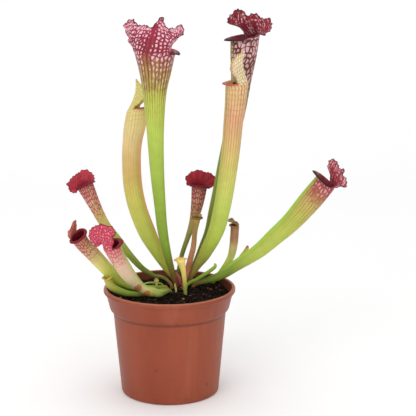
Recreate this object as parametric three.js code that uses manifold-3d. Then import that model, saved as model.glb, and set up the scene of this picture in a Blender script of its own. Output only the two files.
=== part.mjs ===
// A young trumpet pitcher plant in a round 12 cm nursery pot.
// Millimetres, +Z up. The origin is the middle of the pot's base, on the surface it stands on.
// +Y points away from the side the plant is seen from, +X to that viewer's right.
import * as THREE from 'three';
import { mergeVertices } from 'three/addons/utils/BufferGeometryUtils.js';
import Module from 'manifold-3d';

const wasm = await Module();
wasm.setup();

// ---------------------------------------------------------------- driving dimensions
const POT_TOP = 98;            // height of the pot
const LIP_RADIUS = 60;         // over the lip: a 12 cm pot
const BAND_TOP_RADIUS = 57.8;  // outside of the band, just under the lip
const BAND_FOOT_RADIUS = 54.3;
const STEP_TOP = 79;           // the band steps in to the body between these heights
const STEP_FOOT = 76;
const BODY_TOP_RADIUS = 51.4;
const BASE_RADIUS = 44.8;
const BASE_ROUND = 1.8;        // rounding of the foot's outer edge
const POT_WALL = 1.3;
const FLOOR_TOP = 3.4;
const BASE_CHANNEL = 1.8;      // depth of the drained channel under the pot
const STAND_RING_RADIUS = 38;  // the pot stands on a ring from here to the wall
const CENTRE_DISC_RADIUS = 13; // and on a flat disc in the middle
const DRAIN_HOLES = 8;
const DRAIN_RADIUS = 3.6;
const DRAIN_CIRCLE_RADIUS = 26;
const POT_SIDES = 44;

const SOIL_LEVEL = 90.6;
const SOIL_BOTTOM_RADIUS = 42;
const SOIL_RING_SIDES = 36;
const CROWN = { x: 9, y: 19 };          // where the leaves spring from
const CROWN_MOUND = { height: 1.6, spread: 15 };
const RIM_MOUND = { x: 34, y: 36, height: 6.4, spread: 15 };

const FIT_GAP = 0.3;           // clearance between pieces that lie against each other
const LEAF_WALL = 0.8;         // thickness of a pitcher's wall and hood

// ---------------------------------------------------------------- the leaves
// route: [x, y, z, half width] from the foot to the middle of the mouth.
// face: the way the mouth and the wing along the tube look.
// side, deep: the section's half width across and along the face, as shares of that half width.
// tilt: how far the mouth's front edge is raised above its middle.
// neck: half angle of the mouth's back edge that carries the hood, in degrees.
// lip: radius of the rolled lip. spout: how far it is drawn out in front.
// hood: the hood's margin, [across, up, forward] from the middle of the mouth.
// hollow: share of the route below which the tube is solid.
const pitchers = [
  {
    name: 'pitcher_tall_front_left', colour: 0xa4bc50, face: [0.43, 0.9, 0.1],
    side: 1, deep: 0.95, tilt: -1, neck: 66, lip: 1.8, spout: 3, spoutUp: -0.1, wing: 2,
    hoodColumns: 20, rows: 14, hollow: 0.5,
    route: [[6.5, 18, 88, 2.1], [4.5, 16, 98.5, 2.3], [-1.5, 11, 122.5, 3.6], [-6, 8, 146.5, 4.7],
      [-8, 3, 170, 5.2], [-10.3, -4, 206.5, 6.4], [-11.3, -12, 245.5, 7.9],
      [-11.3, -18, 277.5, 10.6], [-10.5, -21, 296.5, 14.2], [-10.5, -23, 311, 17.6]],
    hood: [[-18.5, 11, -6.5], [-22, 17, -3], [-27, 20.5, 1.5], [-24.5, 27, 2], [-19, 24, -4.5],
      [-16.5, 27, -11], [-12, 34.5, -9], [-8.5, 29.5, -13], [-2.5, 25.5, -14], [4, 27.5, -11],
      [9.5, 26, -12], [19, 29.5, -6], [28.5, 21.5, -3], [23, 13.5, -5]],
  },
  {
    name: 'pitcher_tall_left', colour: 0xc8bc78, face: [0.95, -0.3, 0.1],
    side: 0.8, deep: 1, tilt: 2.5, neck: 85, lip: 0.8, spout: 0.3, spoutUp: 0.3, wing: 1.5,
    hoodColumns: 12, rows: 14, hollow: 0.45,
    route: [[4, 28, 88, 2.2], [3.5, 27, 96.5, 2.3], [-5.3, 26, 111, 4], [-13.5, 25, 126, 6],
      [-21.7, 24, 143, 7.9], [-30, 23, 166, 8.2], [-34.3, 23, 188.5, 8.3],
      [-35.2, 24, 212.5, 8.3], [-34, 25, 228.5, 8.7], [-31.5, 26, 243, 9.7], [-30, 27, 256, 8.6]],
    hood: [[-7.8, 5, 2.5], [-8.2, 10, 7.5], [-6.8, 15.5, 9], [-4, 21, 5.5], [-1.5, 25.5, -1],
      [0.5, 28, -4.5], [2.5, 25.5, -2], [5, 19.5, 3], [7.3, 13, 5], [7.8, 7, 1.5]],
  },
  {
    name: 'pitcher_tall_right', colour: 0xd2c088, face: [-0.95, -0.35, 0.1],
    side: 0.85, deep: 1, tilt: -1, neck: 98, lip: 0.9, spout: 1.2, spoutUp: 0.2, wing: 1.8,
    hoodColumns: 14, rows: 15, hollow: 0.45,
    route: [[17, 26, 88, 2.1], [17.5, 24, 96.5, 2.2], [24.8, 22, 110.5, 3.3],
      [32.5, 20, 123, 5.3], [42.5, 15, 145, 6.9], [47.5, 12, 164.5, 7.3], [51.2, 8, 186, 7.5],
      [54.7, 3, 212.5, 7.7], [56.5, 0, 230, 7.9], [58, -3, 250, 8.3], [59.5, -5, 266.5, 9.1],
      [60.5, -6, 283.5, 10.1]],
    hood: [[-8.5, 5, 2], [-8, 11, 4], [-6.5, 17, 4.5], [-4, 22.5, 2.5], [-1.5, 27, -2],
      [0.5, 29, -5.5], [2.5, 27.5, -1.5], [5, 23.5, 5], [7.5, 16.5, 8.5], [8.8, 10, 7],
      [9, 5, 3.5]],
  },
  {
    name: 'pitcher_tall_right_back', colour: 0x9c4a52, face: [-0.97, -0.25, 0],
    side: 0.9, deep: 1, tilt: -3, neck: 75, lip: 1.7, spout: 2.5, spoutUp: 0, wing: 1.5,
    hoodColumns: 18, rows: 15, hollow: 0.55,
    route: [[14.5, 33, 88, 2.1], [15.5, 32, 93, 2.2], [22, 32, 108.5, 2.3],
      [28.5, 31, 122.5, 2.8], [36, 30, 141.5, 3.2], [40.5, 29, 161, 3.9], [45.2, 28, 182, 4.5],
      [50.6, 28, 205, 5.7], [56, 28, 228, 6.7], [61.5, 29, 255.5, 7.8], [65.4, 30, 282.5, 8.9],
      [67.5, 31, 305, 11.7], [68.3, 31, 320, 13]],
    hood: [[-13, 6, -4], [-14.5, 10, 0], [-15, 12.5, 5.5], [-15, 12, 12.5], [-14, 17.5, 12.5],
      [-12, 22, 8.5], [-9, 26, 4], [-6, 21, -1], [-4, 20, -3.5], [-1, 23.5, -9], [1, 18.5, -12],
      [4, 19, -19.5], [8, 12.5, -22], [12, 6, -16], [13.5, 3.5, -8]],
  },
  {
    name: 'pitcher_leaning_right', colour: 0xa0b848, face: [-0.8, -0.1, 0.55],
    side: 0.85, deep: 1, tilt: 1, neck: 58, lip: 1.2, spout: 3.5, spoutUp: 0.1, wing: 2,
    hoodColumns: 12, rows: 13, hollow: 0.55,
    route: [[20, 21, 88, 2.1], [23, 19, 94.5, 2.2], [30.5, 17, 97.5, 2.3], [41, 14, 101.2, 2.8],
      [50.5, 12, 106, 3.5], [61.5, 9, 114.6, 4.5], [81, 5, 128.8, 5.9], [96, 2, 143.3, 7.1],
      [111.5, -1, 158.9, 8.3], [127.5, -4, 179.2, 9.8], [139.5, -6, 195.3, 9.9]],
    hood: [[-9, 6, -5.5], [-10.5, 10, -0.5], [-10.5, 14, 7], [-8, 19, 6.5], [-5.5, 21, 2],
      [-3, 18, 0], [-1, 17.5, -2.5], [1, 19.5, -5.5], [3, 17, -8], [5.5, 14, -9],
      [8, 13.5, -13.5], [10, 9, -13], [10, 5.5, -9]],
  },
  {
    name: 'pitcher_small_centre', colour: 0xa82840, face: [0.1, -1, 0.1],
    side: 1, deep: 0.9, tilt: 0, neck: 80, lip: 1.2, spout: 2, spoutUp: 0.25, wing: 1,
    hoodColumns: 14, rows: 10, hollow: 0.6,
    route: [[5.5, 37, 88, 1.7], [6.5, 35, 98, 1.8], [10.5, 33, 118.5, 2.1], [16.5, 31, 137, 2.5],
      [21.5, 30, 152, 3.8], [25, 30, 168, 5.7], [27, 32, 183.5, 7.2]],
    hood: [[-10.5, 0, -2], [-13.5, 6.5, -1], [-11, 11, -2.5], [-7, 14, -4], [-1.5, 15.5, -3.5],
      [5, 14, -4], [10, 14, -2.5], [14.5, 8, -1], [12.5, 2, -2]],
  },
  {
    name: 'pitcher_mid_left', colour: 0x8aa040, face: [0.2, -0.95, 0.3],
    side: 1, deep: 0.95, tilt: 0, neck: 80, lip: 1.1, spout: 1, spoutUp: 0.25, wing: 1,
    hoodColumns: 14, rows: 14, hollow: 0.65,
    route: [[1.5, 16, 88, 1.4], [0.5, 14, 96.5, 1.4], [-6.5, 14, 102.5, 1.5], [-14, 14, 104, 1.7],
      [-19, 13, 107.5, 2], [-26.2, 12, 112.4, 2.7], [-36.8, 9, 125.4, 3.2], [-47.6, 6, 141, 3.7],
      [-57.8, 3, 154.8, 4.4], [-65.5, 2, 170, 5.2], [-75, 5, 189.5, 7.4]],
    hood: [[-10.5, -1, -2], [-14, 1.5, -1.5], [-14.5, 8, -1], [-10, 11.5, -2], [-2.5, 14, -4],
      [2, 14, -4], [6.5, 14.5, -4], [10.5, 9.5, -3], [11, 4.5, -2], [9.5, 1, -1.5]],
  },
  {
    name: 'pitcher_low_far_left', colour: 0xaab848, face: [0.5, -0.75, 0.4],
    side: 1, deep: 0.9, tilt: 0, neck: 40, lip: 0.8, spout: 0, spoutUp: 0, wing: 1,
    hoodColumns: 12, rows: 13, hollow: 0.6,
    route: [[-2, 10.5, 88, 2], [-3.5, 11, 93.5, 2.1], [-13.5, 8, 94, 2.5], [-25.5, 4, 95, 3.2],
      [-36, 2, 98, 4], [-45.6, 0, 104, 5.2], [-54, -4, 112.8, 6], [-62, -8, 123.2, 6.5],
      [-69.2, -13, 133, 6.7], [-76, -18, 142, 6.7], [-80, -22, 150, 7.2]],
    hood: [[-4, 2.5, -7.5], [-1, 5.5, -8], [4, 7, -7.5], [8.5, 9.5, -7], [11, 8.5, -6.5],
      [9.5, 5, -6.5], [6.5, 2.5, -7.3]],
  },
  {
    name: 'pitcher_low_front_left', colour: 0xdcc8a0, face: [1, 0, 0.3],
    side: 1, deep: 0.95, tilt: 0, neck: 92, lip: 1, spout: 1, spoutUp: 0.25, wing: 1,
    hoodColumns: 14, rows: 12, hollow: 0.6,
    route: [[2, 6, 88, 2], [-1, 1, 93.5, 2.2], [-10, -13.5, 95.5, 3.9], [-19.5, -13, 97, 4.2],
      [-27, -16, 102.5, 4.7], [-35, -22, 113, 6.3], [-42, -27, 126, 6.9], [-46, -30, 134.5, 7.3],
      [-49.5, -33, 144, 8.2]],
    hood: [[-8.8, 8.5, 3.5], [-7.5, 14, 8], [-5, 18, 9], [-2, 20.5, 4.5], [0, 23.5, 0.5],
      [2, 22.5, -5.5], [4, 20, -12], [6, 12, -16.5], [7.5, 3.5, -16], [8.5, 0, -11.5]],
  },
  {
    name: 'pitcher_withered', colour: 0xb07040, face: [0.3, -1, 0],
    side: 1, deep: 0.7, tilt: 0, neck: 70, lip: 0.6, spout: 0, spoutUp: 0, wing: 0,
    hoodColumns: 8, rows: 8, hollow: 0.8,
    route: [[12, 17, 88, 1.9], [13.7, 18, 99, 2.3], [17.9, 18, 115.5, 2.8],
      [21.5, 16, 130.5, 2.6], [23, 14, 145.5, 2.4], [25, 11, 159.5, 3.6]],
    hood: [[-4.5, 1.5, -1.8], [-3.2, 3.2, -2.2], [0, 4, -2], [3.2, 3.2, -2.2], [4.5, 1.5, -1.8]],
  },
  {
    name: 'pitcher_small_right', colour: 0xb8a060, face: [-0.9, -0.3, 0.1],
    side: 1, deep: 0.9, tilt: 0, neck: 70, lip: 0.5, spout: 0, spoutUp: 0, wing: 0,
    hoodColumns: 8, rows: 9, hollow: 0.7,
    route: [[37, 26, 88, 1.7], [41, 25, 97, 1.9], [47, 24, 105, 2.6], [52.6, 23, 113, 3.2],
      [56.7, 22.5, 121.6, 3.7], [58.8, 22, 133.5, 4.2], [59.8, 21, 149.5, 4.3]],
    hood: [[-4.8, 3, -2.2], [-5, 5.8, 1], [-3, 6, 5], [0, 5, 7], [3, 6, 5], [5, 5.8, 1],
      [4.8, 3, -2.2]],
  },
  {
    name: 'pitcher_small_yellow', colour: 0xdccd6e, face: [0.2, 1, 0.3],
    side: 1, deep: 0.85, tilt: 0, neck: 70, lip: 0.6, spout: 0, spoutUp: 0, wing: 0,
    hoodColumns: 8, rows: 8, hollow: 0.7,
    route: [[14.5, -7, 88, 1.6], [14.5, -5.5, 92.5, 1.6], [14, -6.5, 103, 1.9],
      [12.5, -6, 115, 2.5], [10.5, -6, 123.5, 4.1]],
    hood: [[-5, 1.5, -1.5], [-3.5, 3.5, -3.5], [0, 4, -4], [3.5, 3.5, -3.5], [5, 1.5, -1.5]],
  },
  {
    name: 'pitcher_yellow_left', colour: 0x9cb040, face: [0.9, -0.2, 0.3],
    side: 0.9, deep: 1, tilt: 0, neck: 60, lip: 0.6, spout: 0, spoutUp: 0, wing: 0,
    hoodColumns: 6, rows: 9, hollow: 0.75,
    route: [[-20, -3, 88, 1.8], [-24.5, -7.5, 91.8, 2.1], [-30, -11, 93.6, 2.4],
      [-39.5, -13, 95.5, 3.1], [-48.5, -14, 99.4, 3.6], [-53, -14, 103.4, 3.5],
      [-55.2, -14, 108.5, 3.5]],
    hood: [[-4, 1, -1], [-3.5, 3, -2.5], [0, 4, -3], [3.5, 3, -2.5], [4, 1, -1]],
  },
];

// Shoots, buds and thin stems: solid, closed to a blunt tip. Rows as in a route.
const shoots = [
  {
    name: 'bud_right', colour: 0xb0b850, face: [0, -1, 0], side: 1, deep: 0.85, rows: 9,
    route: [[38, 30, 88, 1.6], [41.5, 30.5, 97, 1.7], [47.5, 31.5, 102.5, 1.9],
      [55.5, 32, 106.5, 2.4], [61.8, 31.5, 110.8, 2.9], [66.5, 31, 116.5, 3.1], [70, 30.5, 122.5, 2.6], [71.8, 30, 128, 1.2]],
  },
  {
    name: 'shoot_curled', colour: 0x90b840, face: [0, -1, 0], side: 1, deep: 0.9, rows: 10,
    route: [[13.5, 11.5, 88, 1.5], [16, 13, 96, 1.5], [25, 10, 102, 1.7], [33, 7, 108, 1.7],
      [38.5, 5, 112.5, 1.7], [41.5, 4, 115.5, 1.5], [41.5, 4, 118, 1]],
  },
  {
    name: 'pitcher_tiny_left', colour: 0xc8c878, face: [0, -1, 0], side: 1, deep: 0.9, rows: 8,
    route: [[-11.8, 2, 88, 1], [-11.8, 2.5, 92.7, 1], [-12, 2.5, 97.6, 1.1],
      [-12, 2.5, 100.6, 1.5], [-12, 2.5, 102.6, 2.2], [-12, 2.5, 104.1, 1.5]],
  },
  {
    name: 'stem_thin_left', colour: 0xa8c068, face: [0, -1, 0], side: 1, deep: 1, rows: 10,
    route: [[-6, 14.5, 88, 0.7], [-6.5, 13, 95.5, 0.7], [-11, 11, 98, 0.8], [-18, 9.5, 98.8, 0.8],
      [-24, 8.5, 97.8, 0.7], [-30, 8, 95, 0.65], [-34, 8, 91.5, 0.6]],
  },
  {
    name: 'bud_front', colour: 0xb8c860, face: [0, -1, 0], side: 1, deep: 1, rows: 6,
    route: [[6, 1, 88, 0.8], [6, 0, 93, 0.9], [5.5, 1, 96, 1], [5, 1, 98.5, 0.9],
      [5, 1, 100, 0.6]],
  },
  {
    name: 'bract_red', colour: 0xb86468, face: [0, -1, 0], side: 1, deep: 0.8, rows: 7,
    route: [[9.5, 21, 88, 1.4], [9.5, 21, 94.5, 1.9], [8.2, 21, 99.5, 2], [6.5, 21, 103, 1.4],
      [5.5, 21, 105, 0.6]],
  },
];

// ---------------------------------------------------------------- curves and frames
// A smooth curve through the rows of a table, evenly shared between them (Catmull-Rom).
function spline(rows, t) {
  const last = rows.length - 1;
  const mirrored = (a, b) => a.map((value, k) => 2 * value - b[k]);
  const place = Math.min(Math.max(t, 0), 1) * last;
  const i = Math.min(Math.floor(place), last - 1);
  const f = place - i;
  const before = i > 0 ? rows[i - 1] : mirrored(rows[0], rows[1]);
  const after = i + 2 <= last ? rows[i + 2] : mirrored(rows[last], rows[last - 1]);
  return rows[i].map((b, k) => {
    const [a, c, d] = [before[k], rows[i + 1][k], after[k]];
    return 0.5 * (2 * b + (c - a) * f + (2 * a - 5 * b + 4 * c - d) * f * f
      + (3 * b - a - 3 * c + d) * f * f * f);
  });
}

// The route's place, half width and directions: along, across and to the front.
function frameAt(leaf, t) {
  const step = 1e-3;
  const [x, y, z, radius] = spline(leaf.route, t);
  const ahead = new THREE.Vector3(...spline(leaf.route, t + step));
  const behind = new THREE.Vector3(...spline(leaf.route, t - step));
  const along = ahead.sub(behind).normalize();
  const front = new THREE.Vector3(...leaf.face);
  front.addScaledVector(along, -front.dot(along)).normalize();
  const across = new THREE.Vector3().crossVectors(along, front);
  return { place: new THREE.Vector3(x, y, z), radius, along, front, across };
}

function fromFrame(frame, side, up, forward) {
  return frame.place.clone().addScaledVector(frame.across, side)
    .addScaledVector(frame.along, up).addScaledVector(frame.front, forward);
}

const bell = (x, width) => Math.exp(-((x / width) ** 2));
const fromFront = (phi) => Math.PI - Math.abs(phi);

// A point of the tube: phi runs round from the back, 0, to the front, PI.
const WING_WIDTH = 0.2;        // radians
const WING_START = 0.12;       // share of the route below which there is no wing
const WING_RISE = 6;           // how soon it reaches its full height
const WING_FADE = 0.7;         // share of it that is gone at the mouth
const WING_FADE_POWER = 8;
const TILT_POWER = 6;          // keeps the mouth's tilt to the top of the tube
function tubePoint(leaf, t, phi, inset = 0) {
  const frame = frameAt(leaf, t);
  const radius = frame.radius - inset;
  const wingHeight = inset === 0 ? (leaf.wing ?? 0) : 0;
  const wing = wingHeight * bell(fromFront(phi), WING_WIDTH)
    * THREE.MathUtils.clamp(WING_RISE * (t - WING_START), 0, 1) * (1 - WING_FADE * t ** WING_FADE_POWER);
  const forward = -radius * leaf.deep * Math.cos(phi) + wing;
  const up = -(leaf.tilt ?? 0) * t ** TILT_POWER * Math.cos(phi);
  return fromFrame(frame, radius * leaf.side * Math.sin(phi), up, forward);
}

// The rolled lip, in the mouth's own [across, up, forward]. It unrolls towards the neck.
const LIP_ROLL = (170 * Math.PI) / 180;
const LIP_ROLL_AT_NECK = (50 * Math.PI) / 180;
const LIP_FADE = 0.6;          // radians
const SPOUT_WIDTH = 0.5;       // radians
function lipPoint(leaf, phi, t) {
  const radius = leaf.route.at(-1)[3];
  const past = Math.abs(phi) - THREE.MathUtils.degToRad(leaf.neck);
  const turn = t * THREE.MathUtils.mapLinear(
    THREE.MathUtils.clamp(past / LIP_FADE, 0, 1), 0, 1, LIP_ROLL_AT_NECK, LIP_ROLL);
  const out = leaf.lip * (1 - Math.cos(turn));
  const spout = leaf.spout * bell(fromFront(phi), SPOUT_WIDTH) * t;
  return [
    radius * leaf.side * Math.sin(phi) + out * Math.sin(phi),
    -leaf.tilt * Math.cos(phi) + leaf.lip * Math.sin(turn) + spout * leaf.spoutUp,
    -radius * leaf.deep * Math.cos(phi) - out * Math.cos(phi) + spout,
  ];
}

// The hood's margin from one end of the neck to the other, s from -1 to 1. It starts and
// ends on the lip, and its points share the curve by the distances between them.
const MARGIN_SHARE = 0.7;
function marginCurve(leaf) {
  const neck = THREE.MathUtils.degToRad(leaf.neck);
  const points = [lipPoint(leaf, -neck, 1), ...leaf.hood, lipPoint(leaf, neck, 1)];
  const shares = [0];
  for (let i = 1; i < points.length; i++) {
    const gap = Math.hypot(...points[i].map((value, k) => value - points[i - 1][k]));
    shares.push(shares[i - 1] + gap ** MARGIN_SHARE);
  }
  const total = shares.at(-1);
  return (s) => {
    const share = THREE.MathUtils.clamp((s + 1) / 2, 0, 1) * total;
    const i = Math.min(Math.max(shares.findIndex((value) => value >= share), 1), points.length - 1);
    const f = (share - shares[i - 1]) / (shares[i] - shares[i - 1]);
    return spline(points, (i - 1 + f) / (points.length - 1));
  };
}

// The hood: each vein leaves the mouth's back edge, climbs first and then spreads to its end
// on the margin.
const VEIN_CLIMB = 0.75;       // share of the height gained by the vein's middle handle
const VEIN_SPREAD = 0.3;       // and of the way across and forward
function hoodPoint(leaf, margin, s, t) {
  const root = lipPoint(leaf, s * THREE.MathUtils.degToRad(leaf.neck), 0);
  const end = margin(s);
  return root.map((a, k) => {
    const handle = a + (end[k] - a) * (k === 1 ? VEIN_CLIMB : VEIN_SPREAD);
    return a * (1 - t) ** 2 + 2 * t * (1 - t) * handle + end[k] * t * t;
  });
}

// Evens out a grid of points inside its four edges, each point drawn to the mean of its neighbours.
const RELAX_ROUNDS = 12;
function relaxed(grid) {
  let now = grid;
  for (let round = 0; round < RELAX_ROUNDS; round++) {
    now = now.map((row, k) => row.map((point, j) => {
      const onEdge = k === 0 || k === now.length - 1 || j === 0 || j === row.length - 1;
      const around = (axis) => now[k - 1][j][axis] + now[k + 1][j][axis]
        + row[j - 1][axis] + row[j + 1][axis];
      return onEdge ? point : point.map((_, axis) => around(axis) / 4);
    }));
  }
  return now;
}

// ---------------------------------------------------------------- closed grids
// Triangles are kept as three corners each, and welded when the mesh is made.
class Skin {
  constructor() { this.corners = []; }

  triangle(a, b, c) { this.corners.push(a, b, c); }

  // Between two rings of the same count, or where the upper one has twice the points.
  band(lower, upper, flipped = false) {
    const put = (a, b, c) => (flipped ? this.triangle(a, c, b) : this.triangle(a, b, c));
    const n = lower.length;
    for (let j = 0; j < n; j++) {
      const next = (j + 1) % n;
      if (upper.length === n) {
        put(lower[j], upper[j], upper[next]);
        put(lower[j], upper[next], lower[next]);
      } else {
        const [u0, u1, u2] = [upper[2 * j], upper[2 * j + 1], upper[(2 * j + 2) % upper.length]];
        put(lower[j], u0, u1);
        put(lower[j], u1, lower[next]);
        put(lower[next], u1, u2);
      }
    }
  }

  cap(ring, centre, flipped = false) {
    for (let j = 0; j < ring.length; j++) {
      const [a, b] = [ring[j], ring[(j + 1) % ring.length]];
      if (flipped) this.triangle(centre, b, a);
      else this.triangle(centre, a, b);
    }
  }

  geometry() {
    const raw = new THREE.BufferGeometry();
    const flat = this.corners.flatMap((point) => [point.x, point.y, point.z]);
    raw.setAttribute('position', new THREE.Float32BufferAttribute(flat, 3));
    return mergeVertices(raw, 1e-4);
  }
}

// The outward normal at each point of a grid of rings, the mean of the faces that meet there.
function gridNormals(rings) {
  const sums = rings.map((ring) => ring.map(() => new THREE.Vector3()));
  const n = rings[0].length;
  for (let i = 0; i + 1 < rings.length; i++) {
    for (let j = 0; j < n; j++) {
      const places = [[i, j], [i + 1, j], [i + 1, (j + 1) % n], [i, (j + 1) % n]];
      const [a, b, c, d] = places.map(([row, column]) => rings[row][column]);
      const face = new THREE.Vector3().subVectors(c, a).cross(new THREE.Vector3().subVectors(d, b));
      for (const [row, column] of places) sums[row][column].add(face);
    }
  }
  return sums.map((ring) => ring.map((sum) => sum.normalize()));
}

const middleOf = (ring) => ring.reduce((sum, point) => sum.add(point), new THREE.Vector3())
  .divideScalar(ring.length);

// A closed tube from the foot to the route's end, for shoots and for the holes they stand in.
const TIP_RISE = 0.6;          // height of the tip's cone, as a share of its half width
const FOOT_CONE = 0.1;
function tubeSkin(leaf, rows, sides, grow = 0) {
  const skin = new Skin();
  const rings = [];
  for (let i = 0; i <= rows; i++) {
    const ring = [];
    for (let j = 0; j < sides; j++) ring.push(tubePoint(leaf, i / rows, (2 * Math.PI * j) / sides, -grow));
    rings.push(ring);
  }
  for (let i = 0; i < rows; i++) skin.band(rings[i], rings[i + 1]);
  const foot = frameAt(leaf, 0);
  const tip = frameAt(leaf, 1);
  const tipRise = leaf.route.at(-1)[3] * TIP_RISE + grow;
  skin.cap(rings[0], fromFrame(foot, 0, -grow - FOOT_CONE, 0), false);
  skin.cap(rings[rows], fromFrame(tip, 0, tipRise, 0), true);
  return skin;
}

// A pitcher: tube, rolled lip and hood, hollow from the mouth down.
const FRONT_COLUMNS = 8;
const TOP_ROWS = 4;
function pitcherSkin(leaf) {
  const neck = THREE.MathUtils.degToRad(leaf.neck);
  const margin = marginCurve(leaf);
  const angles = [];
  for (let j = 0; j < leaf.hoodColumns; j++) angles.push(neck * ((2 * j) / leaf.hoodColumns - 1));
  const frontSpan = 2 * (Math.PI - neck);
  for (let j = 0; j < FRONT_COLUMNS; j++) angles.push(neck + (frontSpan * j) / FRONT_COLUMNS);
  const wrapped = angles.map((phi) => (phi > Math.PI ? phi - 2 * Math.PI : phi));
  const coarse = wrapped.filter((_, j) => j % 2 === 0);

  const mouthFrame = frameAt(leaf, 1);
  const hood = relaxed(Array.from({ length: TOP_ROWS + 1 }, (_, k) => (
    Array.from({ length: leaf.hoodColumns + 1 }, (__, j) => (
      hoodPoint(leaf, margin, (2 * j) / leaf.hoodColumns - 1, k / TOP_ROWS))))));
  const topRing = (k) => wrapped.map((phi, j) => fromFrame(mouthFrame,
    ...(j <= leaf.hoodColumns ? hood[k][j] : lipPoint(leaf, phi, k / TOP_ROWS))));

  const outer = [];
  for (let i = 0; i < leaf.rows; i++) {
    outer.push(coarse.map((phi) => tubePoint(leaf, i / leaf.rows, phi)));
  }
  const top = [];
  for (let k = 0; k <= TOP_ROWS; k++) top.push(topRing(k));

  // The inside of the lip and hood lies one wall's thickness in from their outside.
  const below = wrapped.map((phi) => tubePoint(leaf, 1 - 1 / leaf.rows, phi));
  const normals = gridNormals([below, ...top]).slice(1);
  const inside = top.map((ring, k) => ring.map((point, j) => (
    point.clone().addScaledVector(normals[k][j], -LEAF_WALL))));

  const firstHollow = Math.round(leaf.hollow * leaf.rows);
  const inner = [];
  for (let i = firstHollow; i < leaf.rows; i++) {
    inner.push(coarse.map((phi) => tubePoint(leaf, i / leaf.rows, phi, LEAF_WALL)));
  }

  const skin = new Skin();
  for (let i = 0; i + 1 < outer.length; i++) skin.band(outer[i], outer[i + 1]);
  skin.band(outer.at(-1), top[0]);
  for (let k = 0; k < TOP_ROWS; k++) {
    skin.band(top[k], top[k + 1]);
    skin.band(inside[k], inside[k + 1], true);
  }
  skin.band(top[TOP_ROWS], inside[TOP_ROWS]);
  for (let i = 0; i + 1 < inner.length; i++) skin.band(inner[i], inner[i + 1], true);
  skin.band(inner.at(-1), inside[0], true);
  skin.cap(outer[0], middleOf(outer[0]), false);
  skin.cap(inner[0], middleOf(inner[0]), true);
  return skin;
}

// ---------------------------------------------------------------- joins and cuts
function solidOf(geometry) {
  const bare = geometry.clone();
  bare.deleteAttribute('normal');
  bare.deleteAttribute('uv');
  const welded = mergeVertices(bare, 1e-4);
  return new wasm.Manifold(new wasm.Mesh({
    numProp: 3,
    vertProperties: new Float32Array(welded.attributes.position.array),
    triVerts: new Uint32Array(welded.index.array),
  }));
}

function geometryOf(solid) {
  const mesh = solid.getMesh();
  const geometry = new THREE.BufferGeometry();
  geometry.setAttribute('position', new THREE.BufferAttribute(mesh.vertProperties, 3));
  geometry.setIndex(new THREE.BufferAttribute(mesh.triVerts, 1));
  return geometry;
}

const cutBy = (solid, tools) => tools.reduce((rest, tool) => rest.subtract(tool), solid);

// ---------------------------------------------------------------- pot
function potGeometry() {
  const inner = (radius) => radius - POT_WALL;
  const profile = [
    [0, 0], [CENTRE_DISC_RADIUS, 0], [CENTRE_DISC_RADIUS + 1, BASE_CHANNEL],
    [STAND_RING_RADIUS - 1, BASE_CHANNEL], [STAND_RING_RADIUS, 0],
    [BASE_RADIUS - BASE_ROUND, 0], [BASE_RADIUS - 0.3 * BASE_ROUND, 0.3 * BASE_ROUND],
    [BASE_RADIUS, BASE_ROUND],
    [BODY_TOP_RADIUS, STEP_FOOT], [BAND_FOOT_RADIUS, STEP_TOP],
    [BAND_TOP_RADIUS, POT_TOP - 4.6], [LIP_RADIUS - 0.5, POT_TOP - 4], [LIP_RADIUS, POT_TOP - 3],
    [LIP_RADIUS - 0.2, POT_TOP - 0.7], [LIP_RADIUS - 1.2, POT_TOP],
    [inner(BAND_TOP_RADIUS) + 0.6, POT_TOP], [inner(BAND_TOP_RADIUS), POT_TOP - 0.8],
    [inner(BAND_FOOT_RADIUS), STEP_TOP + 0.8], [inner(BODY_TOP_RADIUS), STEP_FOOT + 0.6],
    [inner(BASE_RADIUS) + 0.3, FLOOR_TOP + 1.2], [inner(BASE_RADIUS) - 1, FLOOR_TOP],
    [0, FLOOR_TOP],
  ].map(([x, y]) => new THREE.Vector2(x, y));
  const lathe = new THREE.LatheGeometry(profile, POT_SIDES);
  lathe.rotateX(Math.PI / 2);
  const shell = solidOf(lathe);
  const drill = new THREE.CylinderGeometry(DRAIN_RADIUS, DRAIN_RADIUS, 4 * FLOOR_TOP, 12);
  drill.rotateX(Math.PI / 2);
  const holes = [];
  for (let k = 0; k < DRAIN_HOLES; k++) {
    const angle = (2 * Math.PI * (k + 0.5)) / DRAIN_HOLES;
    const hole = drill.clone();
    hole.translate(DRAIN_CIRCLE_RADIUS * Math.cos(angle), DRAIN_CIRCLE_RADIUS * Math.sin(angle), 0);
    holes.push(solidOf(hole));
  }
  return geometryOf(cutBy(shell, holes));
}

// ---------------------------------------------------------------- soil and crown
const SLOW_WAVE = 0.5;         // heights of the two waves of the soil's surface
const QUICK_WAVE = 0.35;
function soilHeight(x, y) {
  const crownMound = CROWN_MOUND.height
    * bell(Math.hypot(x - CROWN.x, y - CROWN.y), CROWN_MOUND.spread);
  const rimMound = RIM_MOUND.height
    * bell(Math.hypot(x - RIM_MOUND.x, y - RIM_MOUND.y), RIM_MOUND.spread);
  const lumps = SLOW_WAVE * Math.sin(0.31 * x + 1) * Math.sin(0.27 * y)
    + QUICK_WAVE * Math.sin(0.55 * y + 0.4 * x);
  return SOIL_LEVEL + crownMound + rimMound + lumps;
}

function wallRadiusAt(z) {
  const line = [
    [FLOOR_TOP, BASE_RADIUS], [STEP_FOOT, BODY_TOP_RADIUS],
    [STEP_TOP, BAND_FOOT_RADIUS], [POT_TOP, BAND_TOP_RADIUS],
  ];
  const i = Math.max(line.findIndex(([height]) => height >= z), 1);
  const [[z0, r0], [z1, r1]] = [line[i - 1], line[i]];
  return r0 + ((r1 - r0) * (z - z0)) / (z1 - z0);
}

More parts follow.
